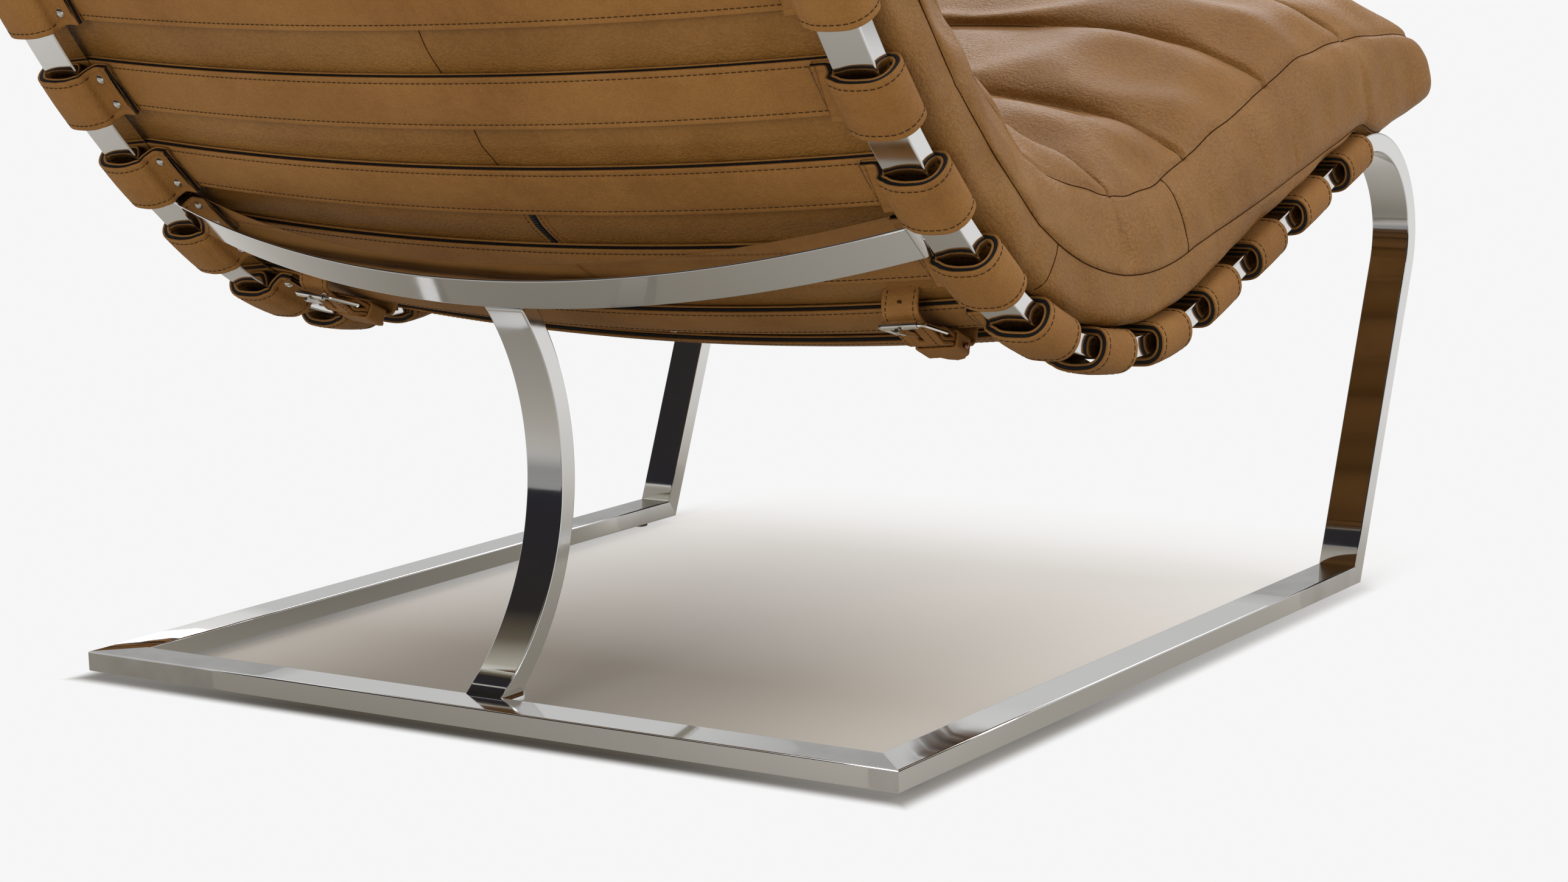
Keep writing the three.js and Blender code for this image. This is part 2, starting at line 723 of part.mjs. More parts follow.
function extrudeAcross(outline, width) {
  const settings = { depth: width, bevelEnabled: false };
  const geometry = new THREE.ExtrudeGeometry(new THREE.Shape(outline), settings);
  geometry.translate(0, 0, -width / 2);
  return geometry.applyMatrix4(new THREE.Matrix4().makeBasis(REARWARD, UP, ACROSS));
}

// A block with a flat pattern's outline, tall enough to cut the whole belt
function patternBlock(outline) {
  const tall = strapPitch * 2;
  const settings = { depth: tall, bevelEnabled: false };
  const geometry = new THREE.ExtrudeGeometry(new THREE.Shape(outline), settings);
  return toSolid(geometry.translate(0, 0, -tall / 2));
}

function oblong(halfWidth, from, to) {
  return [
    ...arcPoints(0, to - halfWidth, halfWidth, 0, 180, CORNER_STEPS),
    ...arcPoints(0, from + halfWidth, halfWidth, 180, 360, CORNER_STEPS),
  ];
}

function roundedBox(halfWidth, low, high, corner) {
  return [
    ...arcPoints(halfWidth - corner, high - corner, corner, 0, 90, CORNER_STEPS),
    ...arcPoints(corner - halfWidth, high - corner, corner, 90, 180, CORNER_STEPS),
    ...arcPoints(corner - halfWidth, low + corner, corner, 180, 270, CORNER_STEPS),
    ...arcPoints(halfWidth - corner, low + corner, corner, 270, 360, CORNER_STEPS),
  ];
}

// From a fold over the buckle's heel back to the layers in front of it
function foldBack(bottom, layer) {
  return FOLD_BACK_SHARES.map(([x, y]) => (
    new THREE.Vector2(heel.x - KEEPER_SETBACK * x, layer + (bottom - layer) * y)
  ));
}

// The short half, sewn under the cushion in front of the strap and folded round the heel bar
function makeChape() {
  const upper = heel.y + wrapRadius;
  const lower = upper - layerStep;
  const route = CHAPE_ROUTE_SHARES.map(([x, y]) => new THREE.Vector2(beltReach * x, upper * y));
  const line = [
    new THREE.Vector2(-beltReach, beltRise),
    ...route,
    ...arcPoints(heel.x, heel.y, wrapRadius, 90, -90, WRAP_STEPS),
    ...foldBack(heel.y - wrapRadius, lower),
    new THREE.Vector2(heel.x - KEEPER_SETBACK - KEEPER_WIDTH, lower),
  ];
  const strip = toSolid(extrudeAcross(ribbon(line, BELT_THICKNESS), BELT_WIDTH));
  const slotFrom = heel.x - KEEPER_SETBACK / 2;
  const slot = oblong(PRONG_WIDTH / 2 + BELT_GAP * 2, slotFrom, beltReach);
  return fromSolid(strip.subtract(patternBlock(slot)));
}

// The long half: down behind the strap, through the buckle, and forward through the keeper
function makeBillet() {
  const half = BELT_WIDTH / 2;
  const pass = rollerCentre.y + ROLLER_DIAMETER / 2 + BELT_GAP + BELT_THICKNESS / 2;
  const tail = heel.y + wrapRadius - 2 * layerStep;
  const over = heel.y - wrapRadius - layerStep;
  const end = heel.x - BELT_TAIL;
  const line = [
    new THREE.Vector2(beltReach, beltRise),
    ...BILLET_ROUTE_SHARES.map(([x, y]) => new THREE.Vector2(beltReach * x, pass * y)),
    new THREE.Vector2(heel.x, over),
    ...foldBack(over, tail),
    new THREE.Vector2(end, tail),
  ];
  const strip = toSolid(extrudeAcross(ribbon(line, BELT_THICKNESS), BELT_WIDTH));
  const pattern = [
    [half, strapPitch],
    [-half, strapPitch],
    [-half, end + BELT_POINT],
    [-half / 2, end + BELT_POINT / 4],
    [0, end],
    [half / 2, end + BELT_POINT / 4],
    [half, end + BELT_POINT],
  ].map(([x, y]) => new THREE.Vector2(x, y));
  const [from, to] = PRONG_SLOT_SHARES.map((share) => heel.x + BUCKLE_LENGTH * share);
  const slot = oblong(PRONG_WIDTH / 2 + BELT_GAP, from, to);
  return fromSolid(strip.intersect(patternBlock(pattern)).subtract(patternBlock(slot)));
}

function makeKeeper() {
  const half = BELT_WIDTH / 2 + BELT_GAP;
  const wall = KEEPER_THICKNESS;
  const high = heel.y + wrapRadius + BELT_THICKNESS / 2 + BELT_GAP;
  const low = high - 3 * layerStep - BELT_GAP;
  const shape = new THREE.Shape(roundedBox(half + wall, low - wall, high + wall, KEEPER_CORNER));
  shape.holes.push(new THREE.Path(roundedBox(half, low, high, KEEPER_CORNER - wall)));
  const settings = { depth: KEEPER_WIDTH, bevelEnabled: false };
  const geometry = new THREE.ExtrudeGeometry(shape, settings).rotateX(Math.PI / 2);
  return geometry.translate(0, heel.x - KEEPER_SETBACK, 0);
}

// One closed loop of wire that is both the heel bar and the roller's bar
function makeBuckleFrame() {
  const path = roundedBox(BUCKLE_WIDTH / 2, 0, BUCKLE_LENGTH, BUCKLE_WIRE);
  const up = new THREE.Vector3(0, Math.sin(tilt), Math.cos(tilt));
  const down = new THREE.Vector3(0, Math.cos(tilt), -Math.sin(tilt));
  const place = (p) => new THREE.Vector3(p.x, heel.x, heel.y).addScaledVector(down, p.y);
  const rings = path.map((point, i) => {
    const before = path[(i + path.length - 1) % path.length];
    const after = path[(i + 1) % path.length];
    const arriving = point.clone().sub(before).normalize();
    const leaving = after.clone().sub(point).normalize();
    const along = arriving.clone().add(leaving).normalize();
    const outward = new THREE.Vector2(along.y, -along.x).multiplyScalar(1 / along.dot(arriving));
    const ring = [];
    for (let k = 0; k < WIRE_STEPS; k += 1) {
      const turn = 2 * Math.PI * (k + 1 / 2) / WIRE_STEPS;
      const radius = BUCKLE_WIRE / 2;
      const flat = point.clone().addScaledVector(outward, radius * Math.cos(turn));
      ring.push(place(flat).addScaledVector(up, radius * Math.sin(turn)));
    }
    return ring;
  });
  return loft(rings);
}

function makeRoller() {
  const half = ROLLER_LENGTH / 2;
  const profile = [
    [ROLLER_BORE / 2, -half],
    [ROLLER_DIAMETER / 2, -half],
    [ROLLER_DIAMETER / 2, half],
    [ROLLER_BORE / 2, half],
    [ROLLER_BORE / 2, -half],
  ].map(([x, y]) => new THREE.Vector2(x, y));
  const geometry = new THREE.LatheGeometry(profile, ROUND_STEPS).rotateZ(Math.PI / 2);
  return geometry.translate(0, rollerCentre.x, rollerCentre.y);
}

// An eye round the heel bar and a shank that comes to rest on the roller
function makeProng() {
  const bore = ROLLER_BORE / 2;
  const eye = PRONG_EYE_DIAMETER / 2;
  const middle = (bore + eye) / 2;
  const rest = rollerCentre.y - (ROLLER_DIAMETER + PRONG_THICKNESS) / 2 - BELT_GAP;
  const root = rad(PRONG_ROOT_TURN);
  const line = [
    new THREE.Vector2(heel.x + middle * Math.cos(root), heel.y + middle * Math.sin(root)),
    new THREE.Vector2(rollerCentre.x, rest),
    new THREE.Vector2(rollerCentre.x + PRONG_TIP, rest),
  ];
  const disc = arcPoints(heel.x, heel.y, eye, 0, 360, ROUND_STEPS).slice(1);
  const hole = arcPoints(heel.x, heel.y, bore, 0, 360, ROUND_STEPS).slice(1);
  const shank = toSolid(extrudeAcross(ribbon(line, PRONG_THICKNESS), PRONG_WIDTH));
  const joined = shank.add(toSolid(extrudeAcross(disc, PRONG_WIDTH)));
  return fromSolid(joined.subtract(toSolid(extrudeAcross(hole, PRONG_WIDTH * 2))));
}

// Each belt lies square to its strap, which is already sloping where the belt crosses it.
function makeBelts(place) {
  const pieces = {
    belt_chape: [makeChape, STRAP_LEATHER],
    belt_billet: [makeBillet, STRAP_LEATHER],
    belt_keeper: [makeKeeper, STRAP_LEATHER],
    buckle_frame: [makeBuckleFrame, NICKEL],
    buckle_roller: [makeRoller, NICKEL],
    buckle_prong: [makeProng, NICKEL],
  };
  const frame = rail.at(place);
  const x = innerHalfWidth - BELT_INSET;
  const lean = Math.atan(2 * STRAP_BOW * x / (innerHalfWidth * innerHalfWidth));
  for (const [name, side] of Object.entries(SIDES)) {
    const matrix = new THREE.Matrix4()
      .makeBasis(ACROSS, frame.along, frame.out)
      .multiply(new THREE.Matrix4().makeRotationY(-side * lean))
      .setPosition(sidePoint(frame, side * x, strapSeat - bowAt(x)));
    for (const [piece, [make, look]] of Object.entries(pieces)) {
      addPiece(`${piece}_${name}`, make().applyMatrix4(matrix), look);
    }
  }
}

makeBaseBars();
makeSideRails();
const crossbarPlace = (strapPlace(SEAT_STRAP_COUNT) + strapPlace(SEAT_STRAP_COUNT + 1)) / 2;
makeCrossbar('back_crossbar', crossbarPlace);
makeCrossbar('top_crossbar', rail.length - BAR_WIDTH / 2);
makeRearSupport(crossbarPlace);
makeGlides();
makeStraps();
makeCushion();
makeBelts(strapPlace(SEAT_STRAP_COUNT - 1));

// The origin is on the floor, under the middle of the chair's overall size.
object.updateMatrixWorld(true);
const bounds = new THREE.Box3().setFromObject(object, true);
const middle = bounds.getCenter(new THREE.Vector3());
for (const mesh of object.children) {
  mesh.geometry.translate(-middle.x, -middle.y, -bounds.min.z);
}

export default object;
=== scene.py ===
"""Cantilever lounge chair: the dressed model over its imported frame, on a pale studio floor."""
import math

import bpy
import numpy as np
from mathutils import Matrix, Vector
from mathutils.bvhtree import BVHTree


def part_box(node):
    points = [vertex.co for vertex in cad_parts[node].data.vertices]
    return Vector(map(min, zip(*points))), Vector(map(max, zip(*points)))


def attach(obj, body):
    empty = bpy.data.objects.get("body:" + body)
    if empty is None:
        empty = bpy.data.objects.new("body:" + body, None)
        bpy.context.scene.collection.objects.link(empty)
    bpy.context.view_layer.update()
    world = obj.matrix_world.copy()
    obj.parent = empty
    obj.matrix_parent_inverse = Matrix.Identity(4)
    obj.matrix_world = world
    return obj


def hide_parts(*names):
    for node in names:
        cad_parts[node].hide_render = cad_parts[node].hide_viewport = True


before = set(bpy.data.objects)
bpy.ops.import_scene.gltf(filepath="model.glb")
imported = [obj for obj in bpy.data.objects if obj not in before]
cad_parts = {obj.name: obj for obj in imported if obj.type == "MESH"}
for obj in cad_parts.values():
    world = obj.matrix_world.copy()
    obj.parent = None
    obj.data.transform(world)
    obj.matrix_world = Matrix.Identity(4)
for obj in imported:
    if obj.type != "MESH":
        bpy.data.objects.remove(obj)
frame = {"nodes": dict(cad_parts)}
bpy.context.scene.view_settings.view_transform = "Standard"
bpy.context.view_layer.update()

# Lengths are in millimetres, in the side plane's own measure. A piece's points turn to metres
# when it is made.
MM = 0.001
SIDES = {"left": 1, "right": -1}

BAR_WIDTH = 32.0
BAR_THICKNESS = 15.0
BAR_EDGE = 1.1
FRAME_WIDTH = 714.0
BASE_LENGTH = 703.0
POST_LEAN = 23.1
POST_RUN = 260.0
BEND_RADIUS = 75.6
SEAT_SLOPE = 18.2
SEAT_RUN = 302.4
LAP_RADIUS = 293.9
LAP_RECLINE = 38.0
BACK_RADIUS = 767.0
BACK_CURVED_RUN = 376.0
BACK_TOP_RUN = 200.0
CROSSBAR_BOW = 57.8
SUPPORT_BULGE = 60.5
WELD_BEAD = 2.4
WELD_INSET = 0.2
WELD_EDGE_INSET = 0.3
WELD_LENGTH_SHARE = 0.82
STAY_WELD_LENGTH = 28.0
STAY_TOE_DRAW = 2.0
STAY_LEAST_LIFT = 0.5
BEND_STEP_DEGREES = 1.2
BEND_LEAST_STEPS = 6
CROSSBAR_STEPS = 64
SUPPORT_STEPS = 60
BEAD_SIDES = 12
EDGE_STEPS = 4
LEAST_RADIUS = 0.001

GLIDE_DIAMETER = 13.0
GLIDE_HEIGHT = 5.0
GLIDE_EDGE = 1.2
GLIDE_SETBACK = 34.0
GLIDE_SOLE_SHARE = 0.6

STRAP_COUNT = 14
SEAT_STRAP_COUNT = 7
STRAP_WIDTH = 45.0
FIRST_STRAP_SETBACK = 25.0
STRAP_THICKNESS = 6.0
STRAP_LEATHER = 1.75
STRAP_BOW = 20.0
STRAP_CLEARANCE = 0.6
TOP_STRAP_SETBACK = 58.8
LOOP_SLACK = 3.8
LOOP_SIDE_SLACK = 4.4
LOOP_TOP_TURN = 8.0
LOOP_UNDER_TURN = 13.5
LOOP_UNDER_SWEEP = 80
LOOP_INNER_SWEEP = (-100, -150)
LOOP_ARC_STEPS = 8
LOOP_STEP = 1.2
LOOP_CLEARANCE = 0.15
LOOP_EASING_PASSES = 4
LOOP_SAG_RANGE = (0.2, 1.1)
RUN_POINTS = 44
FLAP_GAP = 0.5
FLAP_LENGTH = 17.5
FLAP_POINT = 6.0
LAYER_EDGE = 0.9
LAYER_OVERLAP = 0.1
WEBBING_INSET = 0.5
GROOVE_DEPTH = 0.35
EDGE_STITCH_INSET = 4.6
STITCH_LENGTH = 3.5
STITCH_PITCH = 4.7
STITCH_RADIUS = 0.36
STITCH_SINK = 0.1
STITCH_SIDES = 5
STITCH_TRACK_STEP = 0.6
STITCH_LEAST_POINTS = 6
RIVET_DIAMETER = 9.2
RIVET_HEIGHT = 3.4
RIVET_RIM = 0.35
RIVET_SINK = 0.3
RIVET_SIDES = 24
RIVET_SPACING = 23.5
RIVET_SETBACK = 9.2

# A skin's outline from its edge inward: place from the stitch line, share of the groove's depth
GROOVE_SHAPE = [(1.4, 0.0), (0.5, 0.7), (0.0, 1.0), (-0.5, 0.7), (-1.6, 0.0), (-7.0, -0.4)]
SKIN_CROWN_SHARE = -0.6

CUSHION_SIDE_INSET = 7.0
CUSHION_SIDE_BULGE = 16.0
SOFT_BULGE_SHARE = 0.92
CUSHION_SIDE_HEIGHT = 87.0
CUSHION_CROWN = 50.0
CHANNEL_RISE = 17.0
BACK_SEAM_TUCK = 11.0
CUSHION_CLEARANCE = 1.0
CUSHION_OVERHANG = 148.0
CUSHION_TOP_OVERHANG = 20.0
SEAT_CHANNELS = 3
BACK_CHANNELS = 5
LAP_CHANNEL = 163.0
LAP_SEAM_SHARE = 0.46
CHANNEL_DRAW_IN = 5.0
DRAW_DOWN_SHARE = 0.2
DRAW_INWARD_SHARE = 0.3
MID_SEAM_SHARE = 0.4
MID_SEAM_PLACES = [137, 200, 262, 325, 380, 455, 565, 740]
MID_SEAM_SHARES = [0.14, 0.24, 0.12, 0.05, 0.05, 0.1, 0.2, 0.4]
EDGE_SEAM_RAISE = 4.0
BACK_SEAM_EXTRA_TUCK = 5.0
NOSE_REST_DEPTH = 6.0
NOSE_REST_SETBACK = 28.0
NOSE_REST_REACH = 22.0
EDGE_SEAM_DEPTH = 2.6
MID_SEAM_DEPTH = 2.2
CROSS_SEAM_DEPTH = 3.2
PANEL_SEAM_PLACE = 752.0
LOWER_SEAM_PLACE = 985.0
SEAM_LIP = 2.2
SEAM_RADIUS = 0.5
BACK_SEAM_X = -14.0
BACK_SEAM_DEPTH = 1.2
ZIP_SPAN = (1040.0, 1128.0)
ZIP_TAPE_WIDTH = 6.4
ZIP_LIP_WIDTH = 7.0
ZIP_LIP_HEIGHT = 1.8
ZIP_TAPE_THICKNESS = 1.4
ZIP_TAPE_RAISE = 0.3
ZIP_LIP_WORN_SHARE = 0.35
ZIP_STITCH_LENGTH = 2.6
ZIP_STITCH_PITCH = 3.6
ZIP_TOOTH_PITCH = 2.4
ZIP_TOOTH_HALF = (1.9, 1.0)
ZIP_TOOTH_RAISE = 1.0
ZIP_TOOTH_DEPTH = 0.55
ZIP_SLIDER_HALF = (3.6, 2.0)
ZIP_SLIDER_RAISE = 0.8
ZIP_SLIDER_SPAN = (-4, 5)
SWELL_LIMIT = 9.0
SWELL_STEPS = 20
SWELL_EASING_PASSES = 3
CHANNEL_STEPS = 22
LOWER_BAND_STEPS = 9
UPPER_BAND_STEPS = 14
FACE_STEPS = 44
BOTTOM_POINTS = 41
CLOSE_SHARE = 0.004
CLEAR_OF_SEAM_SHARE = 1.6
MID_SEAM_PINCH_SHARE = 0.025
CROSSING_SEAM_DEPTH = 1.3
FRONT_CAP_BULGE = 5.0
TOP_CAP_BULGE = 7.0
CAP_SHARES = [(0.97, 0.45), (0.88, 0.8), (0.7, 0.95), (0.4, 1.0), (0.08, 1.0)]
STRAP_GAP_PUFF = 2.6

# Wandering folds in the side bands and puckers on the face: wave lengths, count and seed
FOLD_WAVES = ((34.0, 70.0), 9, 11)
FOLD_HEIGHT = 0.3
LAP_FOLD_HEIGHT = 1.4
LAP_FOLD_SETBACK = 20.0
LAP_FOLD_REACH = 95.0
PUCKER_WAVES = ((38.0, 80.0), 14, 5)
PUCKER_HEIGHT = 0.65
PUCKER_EDGE_SHARES = (0.93, 0.09)

# How far each height of the side swells outward
SIDE_HEIGHT_SHARES = [0, 0.1, 0.34, 0.6, 0.85, 1]
SIDE_BULGE_SHARES = [0, 0.75, 1, 0.95, 0.6, 0]

# Creases in the upper side band: place at its top, place at its bottom, depth and width
SIDE_FOLDS = [
    (873.0, 856.0, 2.8, 5.5),
    (907.0, 892.0, 1.9, 8.5),
    (950.0, 924.0, 2.5, 10.0),
    (820.0, 811.0, 1.3, 9.0),
    (702.0, 690.0, 1.2, 9.0),
    (561.0, 550.0, 1.1, 9.0),
]

# How the cushion thins toward its front and its top end, by shares of the overhang from there:
# its under side and its edge by shares of the side's height, then its width and its crown
NOSE_PLACE_SHARES = [0, 0.04, 0.17, 0.44, 0.66, 0.8, 1, 1.5]
NOSE_UNDER_SHARES = [-0.287, -0.322, -0.31, -0.264, -0.207, -0.138, 0, 0]
NOSE_EDGE_SHARES = [-0.943, -0.78, -0.644, -0.46, -0.333, -0.264, -0.161, 0]
NOSE_WIDTH_SHARES = [0.955, 0.98, 1, 1, 1, 1, 1, 1]
NOSE_CROWN_SHARES = [0.45, 0.7, 0.88, 1, 1, 1, 1, 1]
END_PLACE_SHARES = [0, 0.05, 0.16, 0.34]
END_UNDER_SHARES = [0.24, 0.1, 0, 0]
END_EDGE_SHARES = [-0.4, -0.22, -0.07, 0]
END_WIDTH_SHARES = [0.96, 0.985, 1, 1]
END_CROWN_SHARES = [0.3, 0.6, 0.9, 1]

# The photograph's camera, solved from the frame's straight edges
PHOTO_WIDTH = 2576
CAMERA_PLACE = (-1350.70, 1570.23, 530.93)
CAMERA_YAW = -0.599017
CAMERA_PITCH = 0.161190
CAMERA_ROLL = -0.030008
CAMERA_FOCAL_PIXELS = 5078.46
SENSOR_WIDTH = 36.0
CAMERA_NEAREST = 50.0

rear_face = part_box("base_rear_bar")[1][1] / MM
rng = np.random.default_rng(7)


# Routes in the side plane

class SideRoute:
    """A route of straight runs and arcs that follow on smoothly."""

    def __init__(self, y, z, heading):
        self.runs = []
        self.end = (y, z, math.radians(heading))
        self.length = 0.0

    def add(self, length, curve):
        self.runs.append((self.length, length, curve, self.end))
        self.end = self.step(self.end, curve, length)
        self.length += length
        return self

    def arc(self, radius, heading):
        turn = math.radians(heading) - self.end[2]
        return self.add(abs(radius * turn), 1 / radius)

    @staticmethod
    def step(start, curve, distance):
        y, z, turn = start
        if curve == 0:
            return (y + distance * math.cos(turn), z + distance * math.sin(turn), turn)
        end = turn + curve * distance
        return (
            y + (math.sin(end) - math.sin(turn)) / curve,
            z - (math.cos(end) - math.cos(turn)) / curve,
            end,
        )

    def at(self, distance):
        """(y, z, heading in radians) at a distance, straight on past the end."""
        if distance > self.length:
            return self.step(self.end, 0, distance - self.length)
        run = [item for item in self.runs if item[0] <= distance] or self.runs[:1]
        start, _, curve, place = run[-1]
        return self.step(place, curve, distance - start)


inner_half = FRAME_WIDTH / 2 - BAR_WIDTH
rail_offset = (FRAME_WIDTH - BAR_WIDTH) / 2
half_thickness = BAR_THICKNESS / 2
base_middle = GLIDE_HEIGHT + half_thickness
mitre_angle = math.radians((90 + POST_LEAN) / 2)
mitre_setback = half_thickness / math.tan(mitre_angle)
mitre_y = mitre_setback - BASE_LENGTH

rail = SideRoute(mitre_y, base_middle, 90 + POST_LEAN)
rail.add(POST_RUN, 0)
rail.arc(-BEND_RADIUS, -SEAT_SLOPE)
deck_start = rail.length
rail.add(SEAT_RUN, 0)
lap_start = rail.length
rail.arc(LAP_RADIUS, LAP_RECLINE)
lap_length = rail.length - lap_start
rail.add(BACK_CURVED_RUN, 1 / BACK_RADIUS)
rail.add(BACK_TOP_RUN, 0)


def deck_at(distance):
    """The rail's place and heading, but straight on in front of its bend."""
    if distance >= deck_start:
        return rail.at(distance)
    return SideRoute.step(rail.at(deck_start), 0, distance - deck_start)


# A table of the deck, so that whole arrays of points are placed at once
DECK_STEP = 1.0
DECK_LEAD = 40.0
DECK_RUN_ON = 60.0
deck_places = np.arange(deck_start - CUSHION_OVERHANG - DECK_LEAD, rail.length + DECK_RUN_ON,
                        DECK_STEP)
deck_table = np.array([deck_at(place) for place in deck_places])


def on_deck(places, x, out):
    """Points at distances along the deck, x across it and out from the bars' middle."""
    places = np.asarray(places, float)
    y = np.interp(places, deck_places, deck_table[:, 0])
    z = np.interp(places, deck_places, deck_table[:, 1])
    turn = np.interp(places, deck_places, deck_table[:, 2])
    out = np.asarray(out, float)
    return np.stack(np.broadcast_arrays(x, y - out * np.sin(turn), z + out * np.cos(turn)), -1)


# Meshes

def to_scene(points):
    """Millimetres in the side plane's measure to metres in the row frame."""
    moved = np.array(points, float)
    moved[..., 1] += rear_face
    return moved * MM


def new_object(name, points, faces, body="chair"):
    """A smooth-shaded piece from points in millimetres, on the body that carries it."""
    mesh = bpy.data.meshes.new(name)
    mesh.from_pydata(to_scene(np.asarray(points).reshape(-1, 3)).tolist(), [], faces)
    mesh.validate()
    mesh.update()
    obj = bpy.data.objects.new(name, mesh)
    bpy.context.scene.collection.objects.link(obj)
    mesh.polygons.foreach_set("use_smooth", [True] * len(mesh.polygons))
    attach(obj, body)
    return obj


def tube_faces(rows, columns, base=0):
    """Quads round a tube of closed rings, with a face over each end."""
    faces = []
    for i in range(rows - 1):
        row = base + i * columns
        for j in range(columns):
            beside = (j + 1) % columns
            faces.append((row + j, row + beside, row + columns + beside, row + columns + j))
    last = base + (rows - 1) * columns
    faces.append(tuple(reversed(range(base, base + columns))))
    faces.append(tuple(range(last, last + columns)))
    return faces


def loft(rings):
    """(points, faces) of a closed tube through rings of equally many points."""
    rings = np.asarray(rings, float)
    rows, columns, _ = rings.shape
    return rings.reshape(-1, 3), tube_faces(rows, columns)


def joined(parts):
    """One (points, faces) from several."""
    points = []
    faces = []
    offset = 0
    for some_points, some_faces in parts:
        points.append(some_points)
        faces.extend(tuple(index + offset for index in face) for face in some_faces)
        offset += len(some_points)
    return np.concatenate(points), faces


def arc_points(centre, radius, start, end, steps):
    """Points on a flat arc between two angles in degrees."""
    turns = np.radians(np.linspace(start, end, steps + 1))
    return np.stack([centre[0] + radius * np.cos(turns), centre[1] + radius * np.sin(turns)], -1)


def distances(points):
    """How far along a polyline each of its points lies."""
    runs = np.linalg.norm(np.diff(points, axis=0), axis=1)
    return np.concatenate([[0], np.cumsum(runs)])


def at_distances(points, travelled, places):
    return np.stack([np.interp(places, travelled, column) for column in points.T], -1)


def resample(points, step):
    """A polyline's points again, at even steps along it."""
    points = np.asarray(points, float)
    travelled = distances(points)
    count = max(int(round(travelled[-1] / step)), 1)
    return at_distances(points, travelled, np.linspace(0, travelled[-1], count + 1))


def normals_of(line):
    """Unit normals of a flat polyline, to the left of its direction."""
    along = np.gradient(line, axis=0)
    along /= np.linalg.norm(along, axis=1)[:, None]
    return np.stack([-along[:, 1], along[:, 0]], -1)


def smooth_table(places, values, at):
    """A table read with a smooth curve that never passes beyond its values."""
    places = np.asarray(places, float)
    values = np.asarray(values, float)
    at = np.clip(at, places[0], places[-1])
    steps = np.diff(places)
    slopes = np.diff(values) / steps
    ends = np.zeros(len(places))
    for i in range(1, len(places) - 1):
        if slopes[i - 1] * slopes[i] > 0:
            ends[i] = 2 / (1 / slopes[i - 1] + 1 / slopes[i])
    ends[0] = slopes[0]
    ends[-1] = slopes[-1]
    i = np.clip(np.searchsorted(places, at, side="right") - 1, 0, len(steps) - 1)
    t = (at - places[i]) / steps[i]
    return (
        (2 * t ** 3 - 3 * t ** 2 + 1) * values[i]
        + (t ** 3 - 2 * t ** 2 + t) * steps[i] * ends[i]
        + (3 * t ** 2 - 2 * t ** 3) * values[i + 1]
        + (t ** 3 - t ** 2) * steps[i] * ends[i + 1]
    )


# Materials

def new_material(name):
    material = bpy.data.materials.new(name)
    material.use_nodes = True
    tree = material.node_tree
    shader = tree.nodes["Principled BSDF"]
    return material, tree, shader


def add_node(tree, kind, inputs=None, **settings):
    """A node with its settings, its inputs set or linked to other nodes' outputs."""
    node = tree.nodes.new(kind)
    for key, value in settings.items():
        setattr(node, key, value)
    for key, value in (inputs or {}).items():
        if isinstance(value, bpy.types.NodeSocket):
            tree.links.new(value, node.inputs[key])
        else:
            node.inputs[key].default_value = value
    return node


def ramp(tree, factor, stops):
    """A colour ramp from (place, colour) stops."""
    node = add_node(tree, "ShaderNodeValToRGB", {"Fac": factor})
    elements = node.color_ramp.elements
    while len(elements) < len(stops):
        elements.new(1.0)
    for element, (place, colour) in zip(elements, stops):
        element.position = place
        element.color = (*colour, 1.0) if len(colour) == 3 else colour
    return node.outputs["Color"]


def map_range(tree, value, low, high, start=0.0, end=1.0):
    """A value eased from low to high as it passes from start to end."""
    node = add_node(tree, "ShaderNodeMapRange", {
        "Value": value, "From Min": start, "From Max": end, "To Min": low, "To Max": high,
    }, interpolation_type="SMOOTHSTEP")
    return node.outputs["Result"]


def math_node(tree, operation, a, b):
    """A sum or comparison of two values, each a number or another node's output."""
    node = tree.nodes.new("ShaderNodeMath")
    node.operation = operation
    for socket, value in zip(node.inputs, (a, b)):
        if isinstance(value, bpy.types.NodeSocket):
            tree.links.new(value, socket)
        else:
            socket.default_value = value
    return node.outputs[0]


